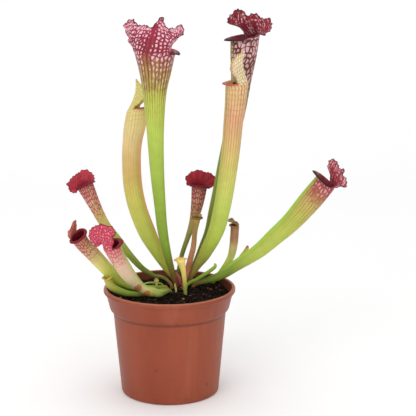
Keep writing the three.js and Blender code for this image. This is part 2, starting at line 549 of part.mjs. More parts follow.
function soilSkin() {
  const inset = POT_WALL + 2 * FIT_GAP;
  const sides = SOIL_RING_SIDES;
  const ringAt = (radius, height) => Array.from({ length: sides }, (_, j) => {
    const angle = (2 * Math.PI * j) / sides;
    const [x, y] = [radius * Math.cos(angle), radius * Math.sin(angle)];
    return new THREE.Vector3(x, y, height(x, y));
  });
  const flat = (z) => () => z;
  const edge = wallRadiusAt(SOIL_LEVEL) - inset;
  const bottom = FLOOR_TOP + FIT_GAP;
  const rings = [
    ringAt(SOIL_BOTTOM_RADIUS, flat(bottom)),
    ringAt(wallRadiusAt(STEP_FOOT) - inset, flat(STEP_FOOT + 2 * FIT_GAP)),
    ringAt(wallRadiusAt(STEP_TOP) - inset, flat(STEP_TOP + 1.5)),
    ...[1, 0.92, 0.8, 0.66, 0.5, 0.34, 0.18].map((share) => ringAt(edge * share, soilHeight)),
  ];
  const skin = new Skin();
  for (let i = 0; i + 1 < rings.length; i++) skin.band(rings[i], rings[i + 1], true);
  skin.cap(rings[0], new THREE.Vector3(0, 0, bottom), true);
  skin.cap(rings.at(-1), new THREE.Vector3(0, 0, soilHeight(0, 0)), false);
  return skin;
}

// The crown is a lumpy oval body, half sunk in the soil.
const CROWN_SIZE = [11, 14, 7.5];
const CROWN_HEIGHT = 85.6;
const CROWN_LUMPS = 0.07;
function crownSkin(grow = 0) {
  const [rows, sides] = [8, 16];
  const point = (i, j) => {
    const down = (Math.PI * i) / rows;
    const angle = (2 * Math.PI * j) / sides;
    const lumps = 1 + CROWN_LUMPS * Math.sin(3 * angle + 1) * Math.sin(down);
    return new THREE.Vector3(
      CROWN.x + (CROWN_SIZE[0] + grow) * lumps * Math.sin(down) * Math.cos(angle),
      CROWN.y + (CROWN_SIZE[1] + grow) * lumps * Math.sin(down) * Math.sin(angle),
      CROWN_HEIGHT - (CROWN_SIZE[2] + grow) * Math.cos(down),
    );
  };
  const skin = new Skin();
  const rings = [];
  for (let i = 1; i < rows; i++) rings.push(Array.from({ length: sides }, (_, j) => point(i, j)));
  for (let i = 0; i + 1 < rings.length; i++) skin.band(rings[i], rings[i + 1], true);
  skin.cap(rings[0], point(0, 0), true);
  skin.cap(rings.at(-1), point(rows, 0), false);
  return skin;
}

// ---------------------------------------------------------------- the plant in its pot
const plant = new THREE.Group();

function addPiece(name, geometry, colour, roughness) {
  const material = new THREE.MeshStandardMaterial({ color: colour, roughness, metalness: 0 });
  const mesh = new THREE.Mesh(geometry, material);
  mesh.name = name;
  plant.add(mesh);
}

const HOLE_SIDES = 10;
const HOLE_SPREAD = 1.06;      // the flat-sided hole clears the leaf's corners
const holes = [...pitchers, ...shoots].map((leaf) => {
  const wide = { ...leaf, side: leaf.side * HOLE_SPREAD, deep: leaf.deep * HOLE_SPREAD };
  return solidOf(tubeSkin(wide, leaf.rows, HOLE_SIDES, FIT_GAP).geometry());
});

addPiece('pot', potGeometry(), 0x98503a, 0.5);
addPiece('soil', geometryOf(cutBy(solidOf(soilSkin().geometry()),
  [solidOf(crownSkin(FIT_GAP).geometry()), ...holes])), 0x19120f, 0.95);
addPiece('rhizome', geometryOf(cutBy(solidOf(crownSkin().geometry()), holes)), 0x9c5048, 0.7);
for (const leaf of pitchers) {
  addPiece(leaf.name, pitcherSkin(leaf).geometry(), leaf.colour, 0.45);
}
for (const leaf of shoots) {
  addPiece(leaf.name, tubeSkin(leaf, leaf.rows, 8).geometry(), leaf.colour, 0.45);
}

export default plant;
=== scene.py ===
"""A potted trumpet pitcher plant: its looks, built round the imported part.

Metres, +Z up; the origin is the middle of the pot's base. Lengths in the tables are millimetres.
"""
import math

import bpy
import numpy as np
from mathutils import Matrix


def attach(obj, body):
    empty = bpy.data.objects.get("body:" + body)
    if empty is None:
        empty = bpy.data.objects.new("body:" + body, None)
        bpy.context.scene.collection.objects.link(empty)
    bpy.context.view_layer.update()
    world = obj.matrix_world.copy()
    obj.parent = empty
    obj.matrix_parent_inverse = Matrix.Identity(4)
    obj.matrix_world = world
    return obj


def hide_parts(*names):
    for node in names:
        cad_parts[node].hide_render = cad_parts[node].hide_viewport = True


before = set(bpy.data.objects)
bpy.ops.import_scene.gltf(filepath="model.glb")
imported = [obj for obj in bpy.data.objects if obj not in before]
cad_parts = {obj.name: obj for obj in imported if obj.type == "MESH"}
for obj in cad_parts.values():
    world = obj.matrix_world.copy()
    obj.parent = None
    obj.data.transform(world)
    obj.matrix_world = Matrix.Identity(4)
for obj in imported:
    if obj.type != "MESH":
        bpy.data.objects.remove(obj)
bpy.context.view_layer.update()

MM = 0.001
ROOT = "root"

# ---------------------------------------------------------------- camera
EYE = (0.035, -1.100, 0.410)
LOOK_DOWN = math.radians(12.26)
LENS = 108.4
SENSOR_WIDTH = 36.0
NEAREST = 0.05


def add_camera():
    """The photograph's view: square, from a little above the leaves."""
    data = bpy.data.cameras.new("camera")
    data.lens = LENS
    data.sensor_width = SENSOR_WIDTH
    data.clip_start = NEAREST
    camera = bpy.data.objects.new("camera", data)
    camera.location = EYE
    camera.rotation_euler = (math.pi / 2 - LOOK_DOWN, 0.0, 0.0)
    bpy.context.collection.objects.link(camera)
    bpy.context.scene.camera = camera


add_camera()

# ---------------------------------------------------------------- the part's dimensions
# The same names and values as the part's source.
POT_TOP = 98
LIP_RADIUS = 60
BAND_TOP_RADIUS = 57.8
BAND_FOOT_RADIUS = 54.3
STEP_TOP = 79
STEP_FOOT = 76
BODY_TOP_RADIUS = 51.4
BASE_RADIUS = 44.8
BASE_ROUND = 1.8
POT_WALL = 1.3
FLOOR_TOP = 3.4
BASE_CHANNEL = 1.8
STAND_RING_RADIUS = 38
CENTRE_DISC_RADIUS = 13
DRAIN_HOLES = 8
DRAIN_RADIUS = 3.6
DRAIN_CIRCLE_RADIUS = 26
SOIL_LEVEL = 90.6
SOIL_BOTTOM_RADIUS = 42
CROWN = (9, 19)
CROWN_MOUND = dict(height=1.6, spread=15)
RIM_MOUND = dict(x=34, y=36, height=6.4, spread=15)
CROWN_SIZE = (11, 14, 7.5)
CROWN_HEIGHT = 85.6
FIT_GAP = 0.3
LEAF_WALL = 0.8
WING_WIDTH = 0.2
WING_START = 0.12
WING_RISE = 6
TILT_POWER = 6
LIP_ROLL = math.radians(170)
LIP_ROLL_AT_NECK = math.radians(50)
LIP_FADE = 0.6
SPOUT_WIDTH = 0.5
MARGIN_SHARE = 0.7
VEIN_CLIMB = 0.75
VEIN_SPREAD = 0.3
RELAX_ROUNDS = 12
TOP_ROWS = 4

# route: (x, y, z, half width) from the foot to the middle of the mouth.
# face: the way the mouth looks. side, deep: shares of the half width across that and along it.
# tilt: how far the mouth's front edge stands above its middle. wing: depth of the wing.
# neck: half the turn that the hood takes up round the mouth, in degrees from its back.
# lip: radius of the rolled lip. spout, spout_up: how far its front runs out, and its climb.
# hood: the hood's margin, (across, up, forward) from the middle of the mouth.
# hood_columns: columns of the hood's control points.
# GROWTH holds what a leaf has where its own row says nothing else.
GROWTH = dict(
    face=(0, -1, 0), side=1, deep=1, tilt=0, spout=0, spout_up=0.25, wing=0, hood_columns=14,
)
PITCHERS = {
    "pitcher_tall_front_left": dict(
        face=(0.43, 0.9, 0.1), deep=0.95, tilt=-1, neck=66, lip=1.8, spout=3, spout_up=-0.1, wing=2,
        hood_columns=20,
        route=((6.5, 18, 88, 2.1), (4.5, 16, 98.5, 2.3), (-1.5, 11, 122.5, 3.6),
            (-6, 8, 146.5, 4.7), (-8, 3, 170, 5.2), (-10.3, -4, 206.5, 6.4),
            (-11.3, -12, 245.5, 7.9), (-11.3, -18, 277.5, 10.6), (-10.5, -21, 296.5, 14.2),
            (-10.5, -23, 311, 17.6)),
        hood=((-18.5, 11, -6.5), (-22, 17, -3), (-27, 20.5, 1.5), (-24.5, 27, 2), (-19, 24, -4.5),
            (-16.5, 27, -11), (-12, 34.5, -9), (-8.5, 29.5, -13), (-2.5, 25.5, -14), (4, 27.5, -11),
            (9.5, 26, -12), (19, 29.5, -6), (28.5, 21.5, -3), (23, 13.5, -5)),
    ),
    "pitcher_tall_left": dict(
        face=(0.95, -0.3, 0.1), side=0.8, tilt=2.5, neck=85, lip=0.8, spout=0.3, spout_up=0.3,
        wing=1.5, hood_columns=12,
        route=((4, 28, 88, 2.2), (3.5, 27, 96.5, 2.3), (-5.3, 26, 111, 4), (-13.5, 25, 126, 6),
            (-21.7, 24, 143, 7.9), (-30, 23, 166, 8.2), (-34.3, 23, 188.5, 8.3),
            (-35.2, 24, 212.5, 8.3), (-34, 25, 228.5, 8.7), (-31.5, 26, 243, 9.7),
            (-30, 27, 256, 8.6)),
        hood=((-7.8, 5, 2.5), (-8.2, 10, 7.5), (-6.8, 15.5, 9), (-4, 21, 5.5), (-1.5, 25.5, -1),
            (0.5, 28, -4.5), (2.5, 25.5, -2), (5, 19.5, 3), (7.3, 13, 5), (7.8, 7, 1.5)),
    ),
    "pitcher_tall_right": dict(
        face=(-0.95, -0.35, 0.1), side=0.85, tilt=-1, neck=98, lip=0.9, spout=1.2, spout_up=0.2,
        wing=1.8,
        route=((17, 26, 88, 2.1), (17.5, 24, 96.5, 2.2), (24.8, 22, 110.5, 3.3),
            (32.5, 20, 123, 5.3), (42.5, 15, 145, 6.9), (47.5, 12, 164.5, 7.3), (51.2, 8, 186, 7.5),
            (54.7, 3, 212.5, 7.7), (56.5, 0, 230, 7.9), (58, -3, 250, 8.3), (59.5, -5, 266.5, 9.1),
            (60.5, -6, 283.5, 10.1)),
        hood=((-8.5, 5, 2), (-8, 11, 4), (-6.5, 17, 4.5), (-4, 22.5, 2.5), (-1.5, 27, -2),
            (0.5, 29, -5.5), (2.5, 27.5, -1.5), (5, 23.5, 5), (7.5, 16.5, 8.5), (8.8, 10, 7),
            (9, 5, 3.5)),
    ),
    "pitcher_tall_right_back": dict(
        face=(-0.97, -0.25, 0), side=0.9, tilt=-3, neck=75, lip=1.7, spout=2.5, spout_up=0,
        wing=1.5, hood_columns=18,
        route=((14.5, 33, 88, 2.1), (15.5, 32, 93, 2.2), (22, 32, 108.5, 2.3),
            (28.5, 31, 122.5, 2.8), (36, 30, 141.5, 3.2), (40.5, 29, 161, 3.9),
            (45.2, 28, 182, 4.5), (50.6, 28, 205, 5.7), (56, 28, 228, 6.7), (61.5, 29, 255.5, 7.8),
            (65.4, 30, 282.5, 8.9), (67.5, 31, 305, 11.7), (68.3, 31, 320, 13)),
        hood=((-13, 6, -4), (-14.5, 10, 0), (-15, 12.5, 5.5), (-15, 12, 12.5), (-14, 17.5, 12.5),
            (-12, 22, 8.5), (-9, 26, 4), (-6, 21, -1), (-4, 20, -3.5), (-1, 23.5, -9),
            (1, 18.5, -12), (4, 19, -19.5), (8, 12.5, -22), (12, 6, -16), (13.5, 3.5, -8)),
    ),
    "pitcher_leaning_right": dict(
        face=(-0.8, -0.1, 0.55), side=0.85, tilt=1, neck=58, lip=1.2, spout=3.5, spout_up=0.1,
        wing=2, hood_columns=12,
        route=((20, 21, 88, 2.1), (23, 19, 94.5, 2.2), (30.5, 17, 97.5, 2.3), (41, 14, 101.2, 2.8),
            (50.5, 12, 106, 3.5), (61.5, 9, 114.6, 4.5), (81, 5, 128.8, 5.9), (96, 2, 143.3, 7.1),
            (111.5, -1, 158.9, 8.3), (127.5, -4, 179.2, 9.8), (139.5, -6, 195.3, 9.9)),
        hood=((-9, 6, -5.5), (-10.5, 10, -0.5), (-10.5, 14, 7), (-8, 19, 6.5), (-5.5, 21, 2),
            (-3, 18, 0), (-1, 17.5, -2.5), (1, 19.5, -5.5), (3, 17, -8), (5.5, 14, -9),
            (8, 13.5, -13.5), (10, 9, -13), (10, 5.5, -9)),
    ),
    "pitcher_small_centre": dict(
        face=(0.1, -1, 0.1), deep=0.9, neck=80, lip=1.2, spout=2, wing=1,
        route=((5.5, 37, 88, 1.7), (6.5, 35, 98, 1.8), (10.5, 33, 118.5, 2.1), (16.5, 31, 137, 2.5),
            (21.5, 30, 152, 3.8), (25, 30, 168, 5.7), (27, 32, 183.5, 7.2)),
        hood=((-10.5, 0, -2), (-13.5, 6.5, -1), (-11, 11, -2.5), (-7, 14, -4), (-1.5, 15.5, -3.5),
            (5, 14, -4), (10, 14, -2.5), (14.5, 8, -1), (12.5, 2, -2)),
    ),
    "pitcher_mid_left": dict(
        face=(0.2, -0.95, 0.3), deep=0.95, neck=80, lip=1.1, spout=1, wing=1,
        route=((1.5, 16, 88, 1.4), (0.5, 14, 96.5, 1.4), (-6.5, 14, 102.5, 1.5),
            (-14, 14, 104, 1.7), (-19, 13, 107.5, 2), (-26.2, 12, 112.4, 2.7),
            (-36.8, 9, 125.4, 3.2), (-47.6, 6, 141, 3.7), (-57.8, 3, 154.8, 4.4),
            (-65.5, 2, 170, 5.2), (-75, 5, 189.5, 7.4)),
        hood=((-10.5, -1, -2), (-14, 1.5, -1.5), (-14.5, 8, -1), (-10, 11.5, -2), (-2.5, 14, -4),
            (2, 14, -4), (6.5, 14.5, -4), (10.5, 9.5, -3), (11, 4.5, -2), (9.5, 1, -1.5)),
    ),
    "pitcher_low_far_left": dict(
        face=(0.5, -0.75, 0.4), deep=0.9, neck=40, lip=0.8, wing=1, hood_columns=12,
        route=((-2, 10.5, 88, 2), (-3.5, 11, 93.5, 2.1), (-13.5, 8, 94, 2.5), (-25.5, 4, 95, 3.2),
            (-36, 2, 98, 4), (-45.6, 0, 104, 5.2), (-54, -4, 112.8, 6), (-62, -8, 123.2, 6.5),
            (-69.2, -13, 133, 6.7), (-76, -18, 142, 6.7), (-80, -22, 150, 7.2)),
        hood=((-4, 2.5, -7.5), (-1, 5.5, -8), (4, 7, -7.5), (8.5, 9.5, -7), (11, 8.5, -6.5),
            (9.5, 5, -6.5), (6.5, 2.5, -7.3)),
    ),
    "pitcher_low_front_left": dict(
        face=(1, 0, 0.3), deep=0.95, neck=92, lip=1, spout=1, wing=1,
        route=((2, 6, 88, 2), (-1, 1, 93.5, 2.2), (-10, -13.5, 95.5, 3.9), (-19.5, -13, 97, 4.2),
            (-27, -16, 102.5, 4.7), (-35, -22, 113, 6.3), (-42, -27, 126, 6.9),
            (-46, -30, 134.5, 7.3), (-49.5, -33, 144, 8.2)),
        hood=((-8.8, 8.5, 3.5), (-7.5, 14, 8), (-5, 18, 9), (-2, 20.5, 4.5), (0, 23.5, 0.5),
            (2, 22.5, -5.5), (4, 20, -12), (6, 12, -16.5), (7.5, 3.5, -16), (8.5, 0, -11.5)),
    ),
    "pitcher_withered": dict(
        face=(0.3, -1, 0), deep=0.7, neck=70, lip=0.6, hood_columns=8,
        route=((12, 17, 88, 1.9), (13.7, 18, 99, 2.3), (17.9, 18, 115.5, 2.8),
            (21.5, 16, 130.5, 2.6), (23, 14, 145.5, 2.4), (25, 11, 159.5, 3.6)),
        hood=((-4.5, 1.5, -1.8), (-3.2, 3.2, -2.2), (0, 4, -2), (3.2, 3.2, -2.2), (4.5, 1.5, -1.8)),
    ),
    "pitcher_small_right": dict(
        face=(-0.9, -0.3, 0.1), deep=0.9, neck=70, lip=0.5, hood_columns=8,
        route=((37, 26, 88, 1.7), (41, 25, 97, 1.9), (47, 24, 105, 2.6), (52.6, 23, 113, 3.2),
            (56.7, 22.5, 121.6, 3.7), (58.8, 22, 133.5, 4.2), (59.8, 21, 149.5, 4.3)),
        hood=((-4.8, 3, -2.2), (-5, 5.8, 1), (-3, 6, 5), (0, 5, 7), (3, 6, 5), (5, 5.8, 1),
            (4.8, 3, -2.2)),
    ),
    "pitcher_small_yellow": dict(
        face=(0.2, 1, 0.3), deep=0.85, neck=70, lip=0.6, hood_columns=8,
        route=((14.5, -7, 88, 1.6), (14.5, -5.5, 92.5, 1.6), (14, -6.5, 103, 1.9),
            (12.5, -6, 115, 2.5), (10.5, -6, 123.5, 4.1)),
        hood=((-5, 1.5, -1.5), (-3.5, 3.5, -3.5), (0, 4, -4), (3.5, 3.5, -3.5), (5, 1.5, -1.5)),
    ),
    "pitcher_yellow_left": dict(
        face=(0.9, -0.2, 0.3), side=0.9, neck=60, lip=0.6, hood_columns=6,
        route=((-20, -3, 88, 1.8), (-24.5, -7.5, 91.8, 2.1), (-30, -11, 93.6, 2.4),
            (-39.5, -13, 95.5, 3.1), (-48.5, -14, 99.4, 3.6), (-53, -14, 103.4, 3.5),
            (-55.2, -14, 108.5, 3.5)),
        hood=((-4, 1, -1), (-3.5, 3, -2.5), (0, 4, -3), (3.5, 3, -2.5), (4, 1, -1)),
    ),
}
SHOOTS = {
    "bud_right": dict(
        deep=0.85,
        route=((38, 30, 88, 1.6), (41.5, 30.5, 97, 1.7), (47.5, 31.5, 102.5, 1.9),
            (55.5, 32, 106.5, 2.4), (61.8, 31.5, 110.8, 2.9), (66.5, 31, 116.5, 3.1),
            (70, 30.5, 122.5, 2.6), (71.8, 30, 128, 1.2)),
    ),
    "shoot_curled": dict(
        deep=0.9,
        route=((13.5, 11.5, 88, 1.5), (16, 13, 96, 1.5), (25, 10, 102, 1.7), (33, 7, 108, 1.7),
            (38.5, 5, 112.5, 1.7), (41.5, 4, 115.5, 1.5), (41.5, 4, 118, 1)),
    ),
    "pitcher_tiny_left": dict(
        deep=0.9,
        route=((-11.8, 2, 88, 1), (-11.8, 2.5, 92.7, 1), (-12, 2.5, 97.6, 1.1),
            (-12, 2.5, 100.6, 1.5), (-12, 2.5, 102.6, 2.2), (-12, 2.5, 104.1, 1.5)),
    ),
    "stem_thin_left": dict(
        route=((-6, 14.5, 88, 0.7), (-6.5, 13, 95.5, 0.7), (-11, 11, 98, 0.8),
            (-18, 9.5, 98.8, 0.8), (-24, 8.5, 97.8, 0.7), (-30, 8, 95, 0.65), (-34, 8, 91.5, 0.6)),
    ),
    "bud_front": dict(
        route=((6, 1, 88, 0.8), (6, 0, 93, 0.9), (5.5, 1, 96, 1), (5, 1, 98.5, 0.9),
            (5, 1, 100, 0.6)),
    ),
    "bract_red": dict(
        deep=0.8,
        route=((9.5, 21, 88, 1.4), (9.5, 21, 94.5, 1.9), (8.2, 21, 99.5, 2), (6.5, 21, 103, 1.4),
            (5.5, 21, 105, 0.6)),
    ),
}


# ---------------------------------------------------------------- curves and frames
def spline(rows, t):
    """Catmull-Rom through the rows, evenly shared between them, with mirrored end points."""
    rows = np.asarray(rows, float)
    last = len(rows) - 1
    padded = np.concatenate([2 * rows[:1] - rows[1:2], rows, 2 * rows[-1:] - rows[-2:-1]])
    place = np.clip(np.asarray(t, float), 0, 1) * last
    i = np.minimum(place.astype(int), last - 1)
    f = (place - i).reshape(place.shape + (1,) * (rows.ndim - 1))
    a, b, c, d = (padded[i + k] for k in range(4))
    return 0.5 * (2 * b + (c - a) * f + (2 * a - 5 * b + 4 * c - d) * f ** 2
                  + (3 * b - a - 3 * c + d) * f ** 3)


def unit(vectors):
    """Each vector over its own length."""
    lengths = np.linalg.norm(vectors, axis=-1, keepdims=True)
    return vectors / np.maximum(lengths, 1e-12)


def bell(x, width):
    """exp of minus the square of x over width."""
    return np.exp(-(x / width) ** 2)


def climb(values, low, high, most=1):
    """0 up to low, 1 from high on and straight between them, held at the most."""
    return np.clip((values - low) / (high - low), 0, most)


def s_curve(share):
    """Three squares less two cubes of a share: level at both ends."""
    return share * share * (3 - 2 * share)


def arc_lengths(points):
    """Running length along the first axis of an array of points."""
    steps = np.linalg.norm(np.diff(points, axis=0), axis=-1)
    return np.concatenate([np.zeros((1,) + steps.shape[1:]), np.cumsum(steps, axis=0)])


def circle(columns):
    """Even turns round a circle, and the unit steps that they point to."""
    turn = np.linspace(0, 2 * np.pi, columns, endpoint=False)
    return turn, np.stack([np.cos(turn), np.sin(turn)], axis=-1)


SLOPE_STEP = 1e-3        # share of the route between the two places that give its direction


def route_frames(leaf, t):
    """Place, half width, and the directions along, to the front and across, at shares t."""
    at = spline(leaf["route"], t)
    ahead = spline(leaf["route"], np.asarray(t) + SLOPE_STEP)[..., :3]
    behind = spline(leaf["route"], np.asarray(t) - SLOPE_STEP)[..., :3]
    along = unit(ahead - behind)
    face = np.asarray(leaf["face"], float)
    front = unit(face - (along @ face)[..., None] * along)
    across = np.cross(along, front)
    return at[..., :3], at[..., 3], along, front, across


def wing_growth(t):
    """The wing's share of its full depth, straight up from where it starts."""
    return np.clip(WING_RISE * (t - WING_START), 0, 1)


def tube_points(leaf, t, phi, grow=0.0):
    """A ring of phi at each t: an ellipse round the route, with a wing down its front at pi.

    across gets r side sin(phi); front gets minus r deep cos(phi) plus the wing's bell, which
    loses 0.7 t^8 towards the mouth; along gets minus tilt t^6 cos(phi), which raises the
    mouth's front edge.
    """
    place, radius, along, front, across = (a[:, None] for a in route_frames(leaf, t))
    t = t[:, None]
    phi = phi[None, :]
    radius = radius + grow
    wing = (leaf["wing"] * bell(np.pi - np.abs(phi), WING_WIDTH)
            * wing_growth(t) * (1 - 0.7 * t ** 8))
    forward = -radius * leaf["deep"] * np.cos(phi) + wing
    up = -leaf["tilt"] * t ** TILT_POWER * np.cos(phi)
    side = radius * leaf["side"] * np.sin(phi)
    return (place + across * side[..., None] + along * up[..., None]
            + front * forward[..., None])


def lip_points(leaf, phi, t):
    """The rolled lip in the mouth's own (across, up, forward).

    A point turns through t times the roll on a circle of the lip's radius, outside the mouth;
    the roll opens towards the neck, and the spout's bell draws the front edge out.
    """
    phi, t = np.broadcast_arrays(phi, t)
    radius = leaf["route"][-1][3]
    past = np.clip((np.abs(phi) - math.radians(leaf["neck"])) / LIP_FADE, 0, 1)
    turn = t * (LIP_ROLL_AT_NECK + (LIP_ROLL - LIP_ROLL_AT_NECK) * past)
    out = leaf["lip"] * (1 - np.cos(turn))
    spout = leaf["spout"] * bell(np.pi - np.abs(phi), SPOUT_WIDTH) * t
    return np.stack([
        (radius * leaf["side"] + out) * np.sin(phi),
        -leaf["tilt"] * np.cos(phi) + leaf["lip"] * np.sin(turn) + spout * leaf["spout_up"],
        -(radius * leaf["deep"] + out) * np.cos(phi) + spout,
    ], axis=-1)


def hood_net(leaf):
    """The hood's control points, rows from the neck to the margin, columns from end to end.

    The margin runs lip, hood points, lip, shared by the powers of the gaps between them. Each
    vein is a parabola from neck to margin whose handle climbs before it spreads. The points
    inside are then drawn to the mean of their four neighbours, round by round.
    """
    neck = math.radians(leaf["neck"])
    ends = lip_points(leaf, np.array([-neck, neck]), np.ones(2))
    margin = np.concatenate([ends[:1], np.asarray(leaf["hood"], float), ends[1:]])
    gaps = np.linalg.norm(np.diff(margin, axis=0), axis=1) ** MARGIN_SHARE
    shares = np.concatenate([[0], np.cumsum(gaps)]) / gaps.sum()
    s = np.linspace(-1, 1, leaf["hood_columns"] + 1)
    place = np.interp((s + 1) / 2, shares, np.linspace(0, 1, len(margin)))
    end = spline(margin, place)[None]
    root = lip_points(leaf, s * neck, np.zeros_like(s))[None]
    t = np.linspace(0, 1, TOP_ROWS + 1)[:, None, None]
    handle = root + (end - root) * np.array([VEIN_SPREAD, VEIN_CLIMB, VEIN_SPREAD])
    net = root * (1 - t) ** 2 + 2 * t * (1 - t) * handle + end * t * t
    for _ in range(RELAX_ROUNDS):
        mean = (net[:-2, 1:-1] + net[2:, 1:-1] + net[1:-1, :-2] + net[1:-1, 2:]) / 4
        net[1:-1, 1:-1] = mean
    return net


def ring_normals(rings):
    """Outward normals of a grid of closed rings: the sum of its faces' crossed diagonals."""
    ahead = np.roll(rings, -1, axis=1)
    faces = np.cross(ahead[1:] - rings[:-1], ahead[:-1] - rings[1:])
    sums = np.zeros_like(rings)
    for row in (slice(0, -1), slice(1, None)):
        sums[row] += faces + np.roll(faces, 1, axis=1)
    return unit(sums)


# ---------------------------------------------------------------- meshes
def object_from(name, points, quads, triangles=(), values=None, uv=None):
    """A mesh object of quads and triangles; values are numbers per point, uv per corner."""
    quads = np.asarray(quads, np.int32).reshape(-1, 4)
    triangles = np.asarray(triangles, np.int32).reshape(-1, 3)
    corners = np.concatenate([quads.ravel(), triangles.ravel()])
    sizes = np.concatenate([np.full(len(quads), 4), np.full(len(triangles), 3)])
    mesh = bpy.data.meshes.new(name)
    mesh.vertices.add(len(points))
    mesh.vertices.foreach_set("co", (np.asarray(points) * MM).astype(np.float32).ravel())
    mesh.loops.add(len(corners))
    mesh.loops.foreach_set("vertex_index", corners)
    mesh.polygons.add(len(sizes))
    mesh.polygons.foreach_set("loop_start", np.concatenate([[0], np.cumsum(sizes)[:-1]]))
    mesh.update(calc_edges=True)
    mesh.validate()
    mesh.shade_smooth()
    for key, numbers in (values or {}).items():
        layer = mesh.attributes.new(key, "FLOAT", "POINT")
        layer.data.foreach_set("value", np.asarray(numbers, np.float32).ravel())
    if uv is not None:
        layer = mesh.uv_layers.new(name="net")
        layer.data.foreach_set("uv", np.asarray(uv, np.float32).ravel())
    made = bpy.data.objects.new(name, mesh)
    bpy.context.collection.objects.link(made)
    return made


def ring_quads(rows, columns, flip, seam=0):
    """Corner numbers of the quads between rings.

    The rings close, or with a seam of 1 end in one more column, where a pattern can end.
    """
    wide = columns + seam
    i, j = np.meshgrid(np.arange(rows - 1), np.arange(columns), indexing="ij")
    following = (j + 1) % wide
    quads = np.stack([i * wide + j, i * wide + following,
                      (i + 1) * wide + following, (i + 1) * wide + j], axis=-1)
    return (quads[..., ::-1] if flip else quads).reshape(-1, 4)


def fan(ring_start, columns, pole, flip):
    """Triangles from a closed ring to one point."""
    j = np.arange(columns)
    following = (j + 1) % columns
    fans = np.stack([ring_start + j, ring_start + following, np.full(columns, pole)], axis=-1)
    return fans[:, ::-1] if flip else fans


def ring_body(name, rings, poles, flip=False, values=None, net=None):
    """A closed body: quads from ring to ring, and a fan at each end to that end's pole.

    values: for each name, numbers on the rings and the two poles' own. net: the pattern's
    coordinates on the rings, with one more column. flip is for rings whose columns run
    clockwise as seen from the last pole.
    """
    rows, columns = rings.shape[:2]
    first, last = rows * columns, rows * columns + 1
    triangles = np.concatenate([fan(0, columns, first, not flip),
                                fan((rows - 1) * columns, columns, last, flip)])
    points = np.concatenate([rings.reshape(-1, 3), poles])
    values = {key: np.append(np.broadcast_to(grid, (rows, columns)), ends)
              for key, (grid, ends) in (values or {}).items()}
    if net is not None:
        corners = ring_quads(rows, columns, flip, seam=1).ravel()
        net = np.concatenate([net.reshape(-1, 2)[corners], np.zeros((triangles.size, 2))])
    return object_from(name, points, ring_quads(rows, columns, flip), triangles, values, net)


def finish_piece(made, material, node, stands_for_it=True):
    """Gives a piece its finish and its body, and hides the node's part where the piece stands for
    it.
    """
    made.data.materials.append(material)
    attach(made, ROOT)
    if stands_for_it:
        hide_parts(node)


# ---------------------------------------------------------------- materials
def linear(rgb):
    """An 8-bit screen colour as a linear colour with alpha."""
    share = np.asarray(rgb, float) / 255
    low = share / 12.92
    high = ((share + 0.055) / 1.055) ** 2.4
    return tuple(float(c) for c in np.where(share <= 0.04045, low, high)) + (1.0,)


